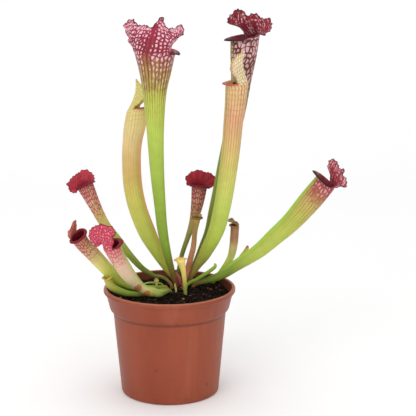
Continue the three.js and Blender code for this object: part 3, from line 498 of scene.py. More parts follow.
class Shader:
    """A material's node tree with short ways to add and join its nodes."""

    def __init__(self, name):
        self.material = bpy.data.materials.new(name)
        self.material.use_nodes = True
        self.tree = self.material.node_tree
        self.surface = self.tree.nodes["Principled BSDF"]

    def add(self, kind, inputs=(), **settings):
        """A node with its settings and inputs, each a value or another node's output."""
        made = self.tree.nodes.new(kind)
        for key, value in settings.items():
            setattr(made, key, value)
        for key, value in dict(inputs).items():
            self.feed(made.inputs[key], value)
        return made

    def feed(self, socket, value):
        """Joins an output to a socket, or sets the socket's own value."""
        if isinstance(value, bpy.types.NodeSocket):
            self.tree.links.new(value, socket)
        else:
            socket.default_value = value

    def number(self, name):
        """The value of a mesh attribute."""
        return self.add("ShaderNodeAttribute", attribute_name=name).outputs["Fac"]

    def net_uv(self):
        """The pattern's coordinates, in cells."""
        return self.add("ShaderNodeUVMap", uv_map="net").outputs["UV"]

    def place(self):
        """The place on the object, in metres."""
        return self.add("ShaderNodeTexCoord").outputs["Object"]

    def split(self, vector):
        """The three numbers of a vector."""
        return tuple(self.add("ShaderNodeSeparateXYZ", {"Vector": vector}).outputs)

    def maths(self, operation, a, b=0.0, c=0.0):
        """One operation on numbers."""
        made = self.add("ShaderNodeMath", {0: a, 1: b, 2: c}, operation=operation)
        return made.outputs["Value"]

    def times(self, a, b):
        """The product of two numbers."""
        return self.maths("MULTIPLY", a, b)

    def vector(self, operation, a, b, c=(0.0, 0.0, 0.0), output="Vector"):
        """One operation on vectors."""
        made = self.add("ShaderNodeVectorMath", {0: a, 1: b, 2: c}, operation=operation)
        return made.outputs[output]

    def scaled(self, vector, scale):
        """A vector times another, axis by axis."""
        return self.vector("MULTIPLY", vector, scale)

    def shifted(self, vector, noise, amount):
        """A vector moved by a colour noise, centred on nothing, times the amount."""
        centred = self.vector("SUBTRACT", noise, (0.5, 0.5, 0.5))
        return self.vector("MULTIPLY_ADD", centred, (amount,) * 3, vector)

    def noise(self, vector, scale, detail=3.0, rough=0.55, output="Fac"):
        """A soft noise; more detail and roughness give it finer grain."""
        return self.add("ShaderNodeTexNoise",
                        {"Vector": vector, "Scale": scale, "Detail": detail,
                         "Roughness": rough}).outputs[output]

    def cells(self, vector, scale, scatter=1.0, **settings):
        """The distance from the nearest cell's middle, or from its edge where that is set."""
        return self.add("ShaderNodeTexVoronoi",
                        {"Vector": vector, "Scale": scale, "Randomness": scatter},
                        **settings).outputs["Distance"]

    def ramp(self, value, stops):
        """Stops over a value from 0 to 1: (place, number) or (place, red, green, blue)."""
        made = self.add("ShaderNodeValToRGB", {"Fac": value})
        elements = made.color_ramp.elements
        while len(elements) < len(stops):
            elements.new(1.0)
        for element, (place, *colour) in zip(elements, stops):
            element.position = place
            element.color = linear(colour) if len(colour) == 3 else (*(colour * 3), 1.0)
        return made.outputs["Color"]

    def span(self, value, low, high, to_low=0.0, to_high=1.0):
        """Maps a value from one range to another by an s-curve, held at its ends."""
        made = self.add("ShaderNodeMapRange",
                        {"Value": value, "From Min": low, "From Max": high,
                         "To Min": to_low, "To Max": to_high}, interpolation_type="SMOOTHSTEP")
        return made.outputs["Result"]

    def mix(self, share, first, second, blend="MIX"):
        """The first colour with a share of the second; a colour is an output or a screen one."""
        made = self.add("ShaderNodeMix", data_type="RGBA", blend_type=blend)
        sockets = {0: share, 6: first, 7: second}
        for index, value in sockets.items():
            self.feed(made.inputs[index], linear(value) if isinstance(value, tuple) else value)
        return made.outputs[2]

    def mark(self, place, mark, strength, noise):
        """The share of a ragged spot: a mark is its middle's x, y, z and its half width."""
        *centre, wide = (MM * number for number in mark)
        away = self.vector("DISTANCE", place, tuple(centre), output="Value")
        ragged = self.maths("MULTIPLY_ADD", self.maths("SUBTRACT", noise, 0.5), 1.4 * wide, away)
        return self.span(ragged, 0.6 * wide, wide, strength, 0.0)

    def bump(self, height, distance, strength=1.0, normal=None):
        """A surface raised by a height from 0 to 1 times a distance in millimetres."""
        made = self.add("ShaderNodeBump", {"Height": height, "Distance": distance * MM,
                                           "Strength": strength})
        if normal is not None:
            self.feed(made.inputs["Normal"], normal)
        return made.outputs["Normal"]

    def finish(self, colour, roughness, normal=None, **inputs):
        """Feeds the surface; keyword names stand for the surface's inputs."""
        self.feed(self.surface.inputs["Base Color"], colour)
        self.feed(self.surface.inputs["Roughness"], roughness)
        if normal is not None:
            self.feed(self.surface.inputs["Normal"], normal)
        for key, value in inputs.items():
            self.feed(self.surface.inputs[key.replace("_", " ")], value)
        return self.material


LEAF_SPECULAR = 0.25
GLOW_REACH = (0.9, 0.6, 0.3)     # of red, green and blue under the skin, times the depth
GLOW_DEPTH = 1.2
SCAR = (186, 98, 46)
SCAR_STRENGTH = 0.85
NET_WARP = 0.45                  # how far the net's cells stray from their lattice
VEIN_CORE = 0.75                 # share of a vein's half width that has its full colour
VEIN_SOFT = 0.05                 # how far it fades past its half width, in cells
VEIN_FULL = 0.06                 # half width from which a vein has its full strength
LINING_VEINS = 0.7               # strength of the veins on the inner face
LINE_SWAY = 0.7
LINE_CORE = 0.4                  # share of a line's half width that has its full colour
HAIRLINES_EACH = 3.0             # fine lines for every long one
VEIN_RELIEF, RIB_RELIEF, GRAIN_RELIEF = 0.25, 0.4, 0.06
ROUGH_RANGE = 0.14


def over_rise(s, rise, stops):
    """Stops over the rise, 0 to 2 from foot to hood margin; the value comes halved."""
    return s.ramp(rise, [(place / 2, *value) for place, *value in stops])


def vein_net(s, look, rise, uv):
    """The net's share of veins, and the warped cells' own first coordinate.

    A vein lies where the distance from the edges of warped cells is under a width that follows
    the rise, grows on the spine and closes some cells in patches. The cells stand in columns,
    or keep their size where the tube narrows.
    """
    across, up, _ = s.split(uv)
    if not look["columns"]:
        across = s.times(across, s.number("girth"))
    level = s.add("ShaderNodeCombineXYZ", {"X": across, "Y": up}).outputs["Vector"]
    warped = s.shifted(level, s.noise(level, 1.1, 2.0, output="Color"), NET_WARP)
    cells = s.cells(warped, 1.0, look["scatter"], voronoi_dimensions="2D",
                    feature="DISTANCE_TO_EDGE")
    bare_width = over_rise(s, rise, look["net"])
    patch = s.maths("SUBTRACT", s.noise(level, 0.4, 1.0), 0.5)
    patched = s.maths("MULTIPLY_ADD", patch, look["patches"], bare_width)
    width = s.maths("MULTIPLY_ADD", s.number("spine"), look["spine"], patched)
    away = s.span(cells, s.times(width, VEIN_CORE), s.maths("ADD", width, VEIN_SOFT))
    vein = s.maths("SUBTRACT", 1.0, away)
    return s.times(vein, s.span(bare_width, 0.0, VEIN_FULL)), s.split(warped)[0]


def long_lines(s, look, rise, uv, warped_across, streak):
    """The shares of the long lines up the tube and of the hairlines between them.

    A line lies near each whole number of a coordinate round the tube: between the columns of
    the net's cells, or on a coordinate that sways a little on its way up.
    """
    if look["columns"]:
        way_round = s.maths("ADD", warped_across, 0.5 - look["scatter"] / 2)
    else:
        sway = s.noise(s.scaled(uv, (0.5, 0.16, 0.0)), 1.0, 1.0, output="Color")
        way_round = s.split(s.shifted(uv, sway, LINE_SWAY))[0]
    some = s.span(streak, 0.4, 0.6, 0.35, 1.0)
    wide = look["line_width"]
    bold = s.span(s.maths("PINGPONG", way_round, 0.5), wide * LINE_CORE, wide, 1.0, 0.0)
    between = s.maths("PINGPONG", s.times(way_round, HAIRLINES_EACH), 0.5)
    thin = s.span(between, 0.1, 0.34, 1.0, 0.0)
    strength = over_rise(s, rise, look["lines"])
    return s.times(s.times(bold, some), strength), s.times(s.times(thin, strength),
                                                           look["hairlines"])


def leaf_material(name, look):
    """A pitcher's skin.

    The ground follows the rise from the foot (0) over the mouth (1) to the hood's margin (2).
    Windows are the cells of a net of veins. Long lines run up the tube, between the columns of
    cells or on a coordinate that sways. The inside, the lip's edge and the wing have their own
    colours, and scars lie over all.
    """
    s = Shader(name)
    rise = s.times(s.number("rise"), 0.5)
    uv = s.net_uv()
    place = s.place()
    mottle = s.noise(place, 110.0)
    tone = s.noise(place, 160.0, 2.0)
    streak = s.noise(s.scaled(uv, (2.4, 0.06, 0.0)), 1.5, 3.0, 0.7)
    net, warped_across = vein_net(s, look, rise, uv)
    lines, hairlines = long_lines(s, look, rise, uv, warped_across, streak)

    colour = s.mix(s.span(mottle, 0.35, 0.65, 0.0, look["mottle"]),
                   over_rise(s, rise, look["ground"]), look["mottle_colour"], "MULTIPLY")
    colour = s.mix(over_rise(s, rise, look["windows"]), colour, look["window_colour"])
    colour = s.mix(hairlines, colour, look["line_colour"])
    vein_colour = s.mix(s.span(tone, 0.3, 0.7, 0.0, 0.45), over_rise(s, rise, look["veins"]),
                        look["vein_dark"])
    colour = s.mix(net, colour, vein_colour)
    colour = s.mix(lines, colour, look["line_colour"])
    colour = s.mix(s.times(s.number("wing"), look["wing_share"]), colour, look["wing_colour"])
    inner = s.mix(s.span(s.noise(uv, 1.3), 0.4, 0.62), look["inside"], look["inside_spots"])
    inner = s.mix(s.times(net, LINING_VEINS), inner, look["vein_dark"])
    colour = s.mix(s.number("inside"), colour, inner)
    colour = s.mix(s.number("edge"), colour, look["edge"])
    for scar in look["scars"]:
        colour = s.mix(s.mark(place, scar, SCAR_STRENGTH, tone), colour, SCAR)

    normal = s.bump(s.times(net, -0.5), VEIN_RELIEF, 0.5)
    normal = s.bump(streak, RIB_RELIEF, look["ribs"], normal)
    normal = s.bump(s.noise(place, 700.0, 2.0), GRAIN_RELIEF, 0.3, normal)
    rough = s.span(mottle, 0.3, 0.7, look["rough"], look["rough"] + ROUGH_RANGE)
    return s.finish(colour, rough, normal, Subsurface_Weight=look["glow"],
                    Subsurface_Radius=GLOW_REACH, Subsurface_Scale=GLOW_DEPTH * MM,
                    Specular_IOR_Level=LEAF_SPECULAR)


# ---------------------------------------------------------------- the pitchers' looks
# Stops are (rise, number) or (rise, red, green, blue): rise 0 foot, 1 mouth, 2 hood margin. The
# first and the last hold beyond them. ground: the skin, with clouds of mottle_colour. net: half
# width of the veins, in cells. windows: how far the ground between them pales to window_colour.
# veins: their colour, with patches of vein_dark. lines: strength of the long lines, with a share
# of hairlines between them. spine, patches: how much wider the veins are on the spine, and how
# uneven. columns: whether the net's cells stand in columns; scatter: how far they stray. inside:
# the inner face, with clouds of inside_spots. edge: the lip and, by the share margin, the hood's
# edge. ruffle: height of the hood's waves. scars: x, y, z and half width of brown marks. ribs,
# rough, glow: relief of the ribs, roughness, and light through the skin.
CRIMSON_FOOT = (122, 45, 42)
LEAF = dict(
    ground=[(0, *CRIMSON_FOOT), (0.07, 140, 110, 50), (0.14, 150, 172, 66), (2, 166, 182, 70)],
    net=[(0, 0), (2, 0)],
    windows=[(0, 0), (2, 0)],
    veins=[(0, 150, 50, 62), (2, 165, 45, 64)],
    lines=[(0, 0.15), (1, 0.3), (2, 0.2)],
    window_colour=(244, 222, 228), vein_dark=(112, 22, 40), line_colour=(118, 140, 52),
    line_width=0.14, hairlines=0.5, spine=0, patches=0.3, margin=1, scars=(), columns=False,
    scatter=0.75, mottle=0.1, mottle_colour=(110, 130, 40), inside=(190, 190, 110),
    inside_spots=(190, 190, 110), edge=(120, 50, 40), wing_colour=(150, 176, 66), wing_share=0.7,
    ribs=0.3, rough=0.42, glow=0.12, ruffle=0.5,
)
LOOKS = {
    "pitcher_tall_front_left": dict(
        ground=[(0, *CRIMSON_FOOT), (0.05, 128, 84, 52), (0.11, 134, 126, 52), (0.18, 126, 156, 48),
            (0.34, 146, 174, 62), (0.52, 162, 186, 74), (0.68, 178, 198, 82), (0.8, 186, 196, 82),
            (0.9, 186, 170, 84), (0.98, 176, 120, 82), (1.15, 172, 84, 90), (2, 190, 92, 112)],
        net=[(0.82, 0), (0.86, 0.36), (0.92, 0.28), (1, 0.2), (1.25, 0.24), (1.6, 0.24),
            (1.8, 0.18), (1.97, 0.15), (2, 0.4)],
        windows=[(0.84, 0), (0.88, 0.5), (0.95, 0.85), (1.1, 0.95), (2, 1)],
        veins=[(0.82, 182, 190, 80), (0.88, 178, 164, 80), (0.97, 160, 106, 70), (1.1, 146, 48, 60),
            (1.6, 158, 42, 68), (2, 182, 62, 94)],
        lines=[(0, 0.1), (0.66, 0.12), (0.78, 0.6), (0.86, 1), (1.2, 1), (1.5, 0.9), (1.8, 0.4),
            (2, 0)],
        line_colour=(106, 26, 36), edge=(84, 14, 28), inside=(204, 110, 112), spine=0.4,
        inside_spots=(190, 80, 92), hairlines=0.1, ruffle=1, wing_share=0.3,
        window_colour=(232, 186, 198), patches=0.34, line_width=0.3, columns=True, scatter=0.72,
    ),
    "pitcher_tall_left": dict(
        ground=[(0, *CRIMSON_FOOT), (0.05, 170, 120, 70), (0.12, 188, 196, 78),
            (0.22, 194, 210, 86), (0.36, 196, 208, 92), (0.53, 204, 206, 98), (0.69, 208, 184, 108),
            (0.81, 222, 200, 138), (0.9, 224, 214, 148), (1.1, 222, 222, 140), (2, 218, 220, 132)],
        net=[(0.86, 0), (0.96, 0.05), (1.1, 0.07), (1.97, 0.07), (2, 0.2)],
        veins=[(0.9, 214, 184, 116), (1.1, 184, 184, 84), (2, 180, 172, 84)],
        lines=[(0, 0.1), (0.5, 0.35), (0.7, 0.6), (0.97, 0.6), (1.1, 0.6), (2, 0.4)],
        vein_dark=(196, 140, 84), patches=0, columns=True, scatter=0.5, margin=0.4,
        line_colour=(188, 104, 78), edge=(176, 96, 70), inside=(222, 206, 140),
        inside_spots=(214, 190, 120), hairlines=0.6, wing_colour=(220, 146, 104), wing_share=0.65,
    ),
    "pitcher_tall_right": dict(
        ground=[(0, 120, 84, 60), (0.05, 150, 124, 66), (0.15, 156, 162, 70), (0.27, 176, 200, 76),
            (0.41, 180, 204, 88), (0.61, 202, 206, 106), (0.76, 214, 192, 126),
            (0.85, 220, 186, 138), (0.94, 220, 204, 144), (1.1, 226, 216, 168), (2, 228, 212, 172)],
        net=[(0.8, 0), (0.9, 0.08), (1.1, 0.1), (1.97, 0.1), (2, 0.2)],
        windows=[(1, 0), (1.2, 0.4)],
        veins=[(0.86, 206, 150, 110), (1, 200, 166, 106), (1.2, 186, 174, 92), (2, 186, 168, 100)],
        lines=[(0, 0.2), (0.5, 0.25), (0.7, 0.6), (0.82, 1), (1, 1), (1.15, 0.5), (2, 0.2)],
        window_colour=(246, 238, 214), vein_dark=(200, 140, 100), patches=0,
        line_colour=(182, 74, 66), edge=(186, 84, 72), columns=True, scatter=0.5, line_width=0.2,
        margin=0.25, inside=(226, 206, 158), inside_spots=(214, 186, 140),
        wing_colour=(150, 150, 84), wing_share=0.55,
    ),
    "pitcher_tall_right_back": dict(
        ground=[(0, *CRIMSON_FOOT), (0.05, 130, 100, 60), (0.1, 120, 140, 50), (0.6, 136, 152, 60),
            (0.78, 160, 140, 76), (0.9, 176, 116, 90), (2, 180, 100, 100)],
        net=[(0.72, 0), (0.78, 0.22), (0.9, 0.17), (1, 0.15), (1.06, 0.3), (1.5, 0.34),
            (1.97, 0.32), (2, 0.5)],
        windows=[(0.74, 0), (0.8, 0.6), (0.93, 0.85)],
        veins=[(0.72, 140, 130, 58), (0.84, 112, 76, 48), (0.98, 104, 44, 44), (1.06, 120, 18, 32),
            (1.5, 132, 20, 36), (2, 158, 34, 52)],
        lines=[(0, 0.25), (0.6, 0.4), (0.78, 0.85), (0.95, 0.7), (1.2, 0.2), (2, 0)],
        window_colour=(226, 188, 194), patches=0.6, line_colour=(104, 46, 40),
        vein_dark=(76, 14, 26), spine=0.12, edge=(58, 10, 20), inside=(150, 40, 52),
        inside_spots=(130, 24, 38), wing_colour=(140, 150, 66), ruffle=1.2,
    ),
    "pitcher_leaning_right": dict(
        ground=[(0, 170, 84, 76), (0.05, 142, 116, 62), (0.12, 110, 138, 48), (0.28, 130, 154, 56),
            (0.42, 174, 192, 82), (0.75, 180, 196, 84), (0.86, 194, 184, 104),
            (0.95, 178, 120, 100), (2, 180, 84, 94)],
        net=[(0.84, 0), (0.9, 0.34), (0.96, 0.24), (1.05, 0.36), (1.6, 0.34), (1.9, 0.2),
            (1.97, 0.16), (2, 0.4)],
        windows=[(0.88, 0), (0.94, 0.5), (1.5, 0.6), (2, 1)],
        veins=[(0.8, 190, 186, 86), (0.88, 180, 144, 88), (0.95, 166, 76, 72), (1.1, 152, 34, 52),
            (2, 176, 46, 70)],
        lines=[(0, 0.1), (0.6, 0.25), (0.74, 0.7), (0.95, 0.95), (1.2, 0.5), (1.5, 0)],
        window_colour=(230, 188, 190), patches=0.6, columns=True, scatter=0.85, line_width=0.2,
        line_colour=(150, 56, 54), edge=(60, 12, 24), inside=(196, 104, 100),
        inside_spots=(160, 60, 66), wing_colour=(150, 190, 66), wing_share=1, ruffle=1,
    ),
    "pitcher_small_centre": dict(
        ground=[(0, 150, 100, 60), (0.08, 122, 138, 52), (0.4, 134, 152, 60), (0.62, 168, 160, 88),
            (0.76, 200, 162, 116), (0.9, 196, 142, 116), (0.99, 158, 96, 84), (1.04, 142, 28, 38),
            (1.2, 172, 38, 48), (2, 184, 42, 56)],
        net=[(0.66, 0), (0.74, 0.1), (0.9, 0.2), (1.1, 0.2), (2, 0.3)],
        windows=[(0.74, 0), (0.9, 0.2), (0.98, 0.16), (1.03, 0)],
        veins=[(0.7, 150, 96, 64), (0.9, 146, 60, 56), (1.1, 150, 30, 44), (2, 190, 48, 66)],
        lines=[(0, 0.15), (0.6, 0.4), (0.9, 0.95), (1.1, 0.6), (2, 0.5)],
        columns=True, vein_dark=(140, 26, 42), line_colour=(128, 34, 44), edge=(104, 16, 30),
        inside=(140, 36, 46), inside_spots=(120, 24, 38), line_width=0.22, ruffle=0.8,
        wing_share=0.1,
    ),
    "pitcher_mid_left": dict(
        ground=[(0, 150, 90, 70), (0.06, 152, 118, 70), (0.13, 112, 132, 50), (0.3, 114, 140, 50),
            (0.6, 176, 194, 84), (0.76, 214, 208, 122), (0.88, 212, 176, 132), (1, 186, 124, 108),
            (1.06, 158, 34, 48), (1.3, 182, 44, 58), (2, 190, 48, 64)],
        net=[(0.74, 0), (0.82, 0.12), (0.95, 0.2), (1.1, 0.24), (2, 0.32)],
        windows=[(0.78, 0), (0.9, 0.2), (1, 0.16), (1.1, 0), (1.5, 0.1), (2, 0.16)],
        veins=[(0.78, 186, 130, 92), (0.9, 160, 70, 70), (1.1, 170, 36, 54), (2, 200, 54, 74)],
        lines=[(0, 0.15), (0.6, 0.4), (0.84, 0.9), (1.1, 0.7), (2, 0.5)],
        columns=True, vein_dark=(150, 28, 46), line_colour=(150, 44, 54), edge=(106, 16, 32),
        inside=(140, 36, 48), inside_spots=(120, 24, 38), line_width=0.2, ruffle=1, wing_share=0.1,
    ),
    "pitcher_low_far_left": dict(
        ground=[(0, 150, 100, 60), (0.1, 138, 168, 50), (0.35, 178, 206, 70), (0.58, 208, 220, 100),
            (0.72, 226, 218, 132), (0.86, 226, 186, 148), (1.1, 186, 96, 84), (2, 226, 150, 128)],
        net=[(0.72, 0), (0.82, 0.1), (1, 0.18), (2, 0.14)],
        veins=[(0.76, 190, 150, 100), (0.9, 166, 84, 76), (1, 156, 48, 50), (2, 190, 80, 72)],
        lines=[(0, 0.15), (0.7, 0.4), (0.92, 0.95), (1.1, 0.5), (2, 0.4)],
        columns=True, scatter=0.6, line_colour=(150, 60, 56), edge=(120, 20, 34),
        inside=(112, 16, 28), inside_spots=(84, 10, 20), vein_dark=(110, 20, 32), wing_share=0.15,
    ),
    "pitcher_low_front_left": dict(
        ground=[(0, 140, 130, 60), (0.12, 130, 156, 56), (0.3, 160, 180, 76), (0.42, 206, 206, 128),
            (0.6, 224, 216, 164), (0.8, 224, 200, 166), (0.96, 210, 150, 136), (1.1, 196, 68, 88),
            (2, 204, 72, 94)],
        net=[(0.76, 0), (0.86, 0.1), (1, 0.2), (1.1, 0.34), (2, 0.36)],
        windows=[(0, 0), (1, 0.1), (1.2, 0.4), (2, 0.5)],
        veins=[(0.82, 208, 140, 124), (0.95, 196, 92, 96), (1.1, 184, 48, 72), (2, 194, 58, 84)],
        lines=[(0, 0.1), (0.5, 0.4), (0.84, 0.85), (1.1, 0.6), (1.3, 0.1), (2, 0)],
        scars=((-27, -20.6, 102.8, 4.6), (-19.6, -17.2, 96.2, 3.6)),
        columns=True, line_colour=(204, 112, 112), edge=(120, 20, 36), inside=(128, 28, 42),
        inside_spots=(100, 16, 30), vein_dark=(170, 40, 66), wing_colour=(166, 186, 84),
        wing_share=0.9, ruffle=0.9,
    ),
    "pitcher_withered": dict(
        ground=[(0, 180, 96, 70), (0.2, 210, 134, 96), (0.5, 216, 160, 120), (0.74, 176, 152, 92),
            (0.92, 176, 160, 84), (1.1, 190, 168, 92), (2, 176, 148, 84)],
        lines=[(0, 0.7), (0.6, 0.8), (0.9, 0.5)],
        line_colour=(156, 74, 44), edge=(122, 86, 48), inside=(110, 78, 46),
        inside_spots=(86, 56, 34), mottle=0.3, mottle_colour=(150, 110, 70), rough=0.55, glow=0.05,
        ribs=0.8, line_width=0.2, wing_share=0,
    ),
    "pitcher_small_right": dict(
        ground=[(0, 110, 150, 50), (0.3, 180, 206, 80), (0.56, 206, 212, 112), (0.7, 214, 196, 130),
            (0.8, 184, 136, 98), (0.98, 172, 126, 86), (1.2, 196, 160, 94), (2, 160, 120, 74)],
        lines=[(0, 0.2), (0.6, 0.4), (0.85, 0.8), (2, 0.6)],
        line_colour=(104, 62, 42), edge=(136, 98, 60), inside=(128, 98, 62),
        inside_spots=(104, 72, 48), mottle=0.2, wing_share=0,
    ),
    "pitcher_small_yellow": dict(
        ground=[(0, 122, 140, 50), (0.22, 146, 160, 62), (0.5, 204, 200, 98), (0.8, 242, 222, 124),
            (2, 248, 216, 120)],
        lines=[(0, 0.2), (1, 0.4), (2, 0.3)],
        line_colour=(190, 160, 78), edge=(222, 166, 92), inside=(200, 176, 96),
        inside_spots=(200, 176, 96),
    ),
    "pitcher_yellow_left": dict(
        ground=[(0, 112, 130, 50), (0.3, 120, 148, 54), (0.7, 146, 164, 62), (0.9, 184, 178, 78),
            (2, 196, 180, 80)],
        lines=[(0, 0.2), (1, 0.4), (2, 0.3)],
        line_colour=(140, 140, 60), edge=(192, 168, 76), inside=(160, 150, 70),
        inside_spots=(160, 150, 70),
    ),
    "bud_right": dict(
        ground=[(0, 140, 160, 70), (0.5, 176, 186, 90), (0.8, 212, 202, 100), (0.94, 206, 176, 90),
            (1, 150, 84, 56)],
        lines=[(0, 0.3), (1, 0.5)],
        line_colour=(150, 150, 70),
    ),
    "shoot_curled": dict(
        ground=[(0, 150, 90, 60), (0.12, 140, 170, 62), (2, 150, 186, 66)],
        lines=[(0, 0.2), (1, 0.4)],
    ),
    "pitcher_tiny_left": dict(
        ground=[(0, 150, 160, 80), (0.6, 196, 196, 110), (0.85, 210, 190, 116), (1, 190, 130, 90)],
    ),
    "stem_thin_left": dict(
        ground=[(0, 150, 156, 84), (0.5, 170, 184, 96), (1, 168, 184, 96)],
    ),
    "bud_front": dict(
        ground=[(0, 150, 130, 70), (0.5, 172, 186, 88), (1, 200, 190, 104)],
    ),
    "bract_red": dict(
        ground=[(0, 150, 60, 60), (0.5, 180, 96, 92), (1, 196, 120, 110)],
        lines=[(0, 0.5), (1, 0.7), (2, 0.5)],
        line_colour=(140, 54, 60),
    ),
}

# ---------------------------------------------------------------- pitchers and shoots
MARGIN_STEP = 0.8        # along the hood's margin, for each column
HALF_HOOD = (24, 75)     # fewest and most columns of half a hood
LIP_COLUMNS = 24         # on each side, from the neck to the front
TOP_FINE_ROWS = 32
ROUTE_SAMPLES = 400
TUBE_STEP = 2.0
TUBE_ROWS = 8            # at least
INNER_STEP = 5.0
INNER_ROWS = 5           # at least
HOLLOW_FROM = 0.55       # share of the route below which a pitcher is solid
NECK_FADE = 0.25         # turn past the neck over which the lip leaves the hood's curve
RUFFLE_WAVES = ((1.25, 1, 1), (2.9, 0.7, 2.3))    # size, height and share of the seed
TEETH_SIZE = 0.62
TEETH_SWAY = (3.3, 2)    # size and height of the wave that shifts the teeth
TEETH = 0.5              # share of the ruffle that moves the margin in and out
PLAIN_END = 0.06         # share of the margin at each end over which ruffles fade
RIM_BULGE = 0.35         # how far the rim stands past the top, in walls
CELL_AROUND = 3.9        # width of the net's cells
CELL_RADIUS = 13.0       # a mouth narrower than this has finer cells, in proportion
CELL_STRETCH = 0.4       # power of that proportion by which they are shorter
CELL_HEIGHTS = ((0, 9.0), (0.8, 6.75), (1, 4.2), (1.3, 3.5))    # at each rise
HOOD_FADE = 0.3          # turn at the neck over which the marks of lip and hood change
LINING_TOP = 1.2         # rise at which the hood's inner face has its own colour
HOOD_LINING = 0.25       # how far the hood's inner face takes the tube's inside colour
LIP_EDGE = (1.35, 1.6)   # rise where the lip's edge colour begins, and where it is full
HOOD_EDGE = (1.975, 2.0)
SPINE_SHARE = 0.17       # half width of the spine, as a share of the mouth's half width
WING_FLARE = 1.6         # width of the wing's colour, in wings


def even_shares(leaf, first, last, step, least):
    """Shares of the route from the first to the last, about a step apart along it."""
    samples = np.linspace(0, 1, ROUTE_SAMPLES)
    run = arc_lengths(spline(leaf["route"], samples)[:, :3])
    count = max(int(run[-1] * abs(last - first) / step), least)
    return np.interp(np.linspace(first, last, count), run / run[-1], samples)


def mouth_turns(leaf):
    """The columns' turns round the mouth, from front to front, and the slice on the hood."""
    neck = math.radians(leaf["neck"])
    margin = arc_lengths(hood_net(leaf)[-1])[-1]
    hood_columns = 2 * int(np.clip(margin / MARGIN_STEP / 2, *HALF_HOOD))
    phi = np.concatenate([
        np.linspace(-np.pi, -neck, LIP_COLUMNS, endpoint=False),
        np.linspace(-neck, neck, hood_columns, endpoint=False),
        np.linspace(neck, np.pi, LIP_COLUMNS, endpoint=False),
    ])
    return phi, slice(LIP_COLUMNS, LIP_COLUMNS + hood_columns + 1)


def top_points(leaf, phi, hood, ruffle, seed):
    """The lip and hood in the mouth's own (across, up, forward), rows from the mouth up.

    Columns on the hood follow its net by Catmull-Rom both ways, with ruffles that grow as the
    cube of t, square to the hood and along its veins; the other columns follow the lip, and
    near the neck take a fading share of the hood edge's own curve.
    """
    t = np.linspace(0, 1, TOP_FINE_ROWS + 1)
    points = lip_points(leaf, phi[None, :], t[:, None])
    neck = math.radians(leaf["neck"])
    columns = np.linspace(0, 1, hood.stop - hood.start)
    surface = spline(spline(hood_net(leaf), t).transpose(1, 0, 2), columns).transpose(1, 0, 2)
    margin = arc_lengths(surface[-1])
    ends = climb(np.minimum(columns, 1 - columns), 0, PLAIN_END)
    growth = ruffle * (t ** 3)[:, None, None]
    square = unit(np.cross(np.gradient(surface, axis=1), np.gradient(surface, axis=0)))
    veins = unit(np.gradient(surface, axis=0))
    wave = ends * sum(height * np.sin(margin / size + share * seed)
                      for size, height, share in RUFFLE_WAVES)
    sway_size, sway = TEETH_SWAY
    teeth = ends * np.sin(margin / TEETH_SIZE + sway * np.sin(margin / sway_size + seed))
    surface = (surface + growth * wave[None, :, None] * square
               + TEETH * growth * teeth[None, :, None] * veins)
    edges = lip_points(leaf, np.array([-neck, neck])[None, :], t[:, None])
    gap = surface[:, [0, -1]] - edges
    fade = 1 - s_curve(climb(np.abs(phi), neck, neck + NECK_FADE))
    points += np.where(phi[None, :, None] < 0, gap[:, :1], gap[:, 1:]) * fade[None, :, None]
    points[:, hood] = surface
    return points


def over_the_rim(outside, top, inside):
    """Rows of numbers up the outside and the top, once more on the rim, and back down."""
    return np.concatenate([outside, top, top[-1:], top[::-1], inside])


def net_across(leaf, phi, hood, top, rows_outside, rows_inside):
    """How far each point lies round the ring from the middle of the back, in millimetres.

    The turn times the mouth's half width on the tube and the lip; on the hood the running
    length of its row, which also moves the lip's columns on each side.
    """
    radius = leaf["route"][-1][3]
    neck = math.radians(leaf["neck"])
    plain = (np.append(phi, np.pi) * radius)[None, :]
    run = arc_lengths(top.transpose(1, 0, 2)).T
    middle = (hood.start + hood.stop - 1) // 2
    run = run - run[:, middle:middle + 1]
    across = np.repeat(plain, len(top), axis=0)
    across[:, hood] = run[:, hood]
    across[:, :hood.start] += run[:, hood.start, None] + neck * radius
    across[:, hood.stop:] += run[:, hood.stop - 1, None] - neck * radius
    return over_the_rim(np.repeat(plain, rows_outside, axis=0), across,
                        np.repeat(plain, rows_inside, axis=0))


def net_up(rings, rise, finer, rows_outside):
    """How many cells each point lies above the foot, with one more column where it closes.

    The running length up each column over the cells' height at its rise; the tube's rows take
    their mean, and the rows above go on from it.
    """
    cell = np.interp(rise, *np.transpose(CELL_HEIGHTS))
    steps = (np.linalg.norm(np.diff(rings, axis=0), axis=-1)
             / (0.5 * finer ** CELL_STRETCH * (cell[1:] + cell[:-1]))[:, None])
    height = np.concatenate([np.zeros((1, rings.shape[1])), np.cumsum(steps, axis=0)])
    height[:rows_outside] = height[:rows_outside].mean(1, keepdims=True)
    below = height[rows_outside - 1]
    height[rows_outside:] += (below.mean() - below)[None, :]
    return np.concatenate([height, height[:, :1]], axis=1)


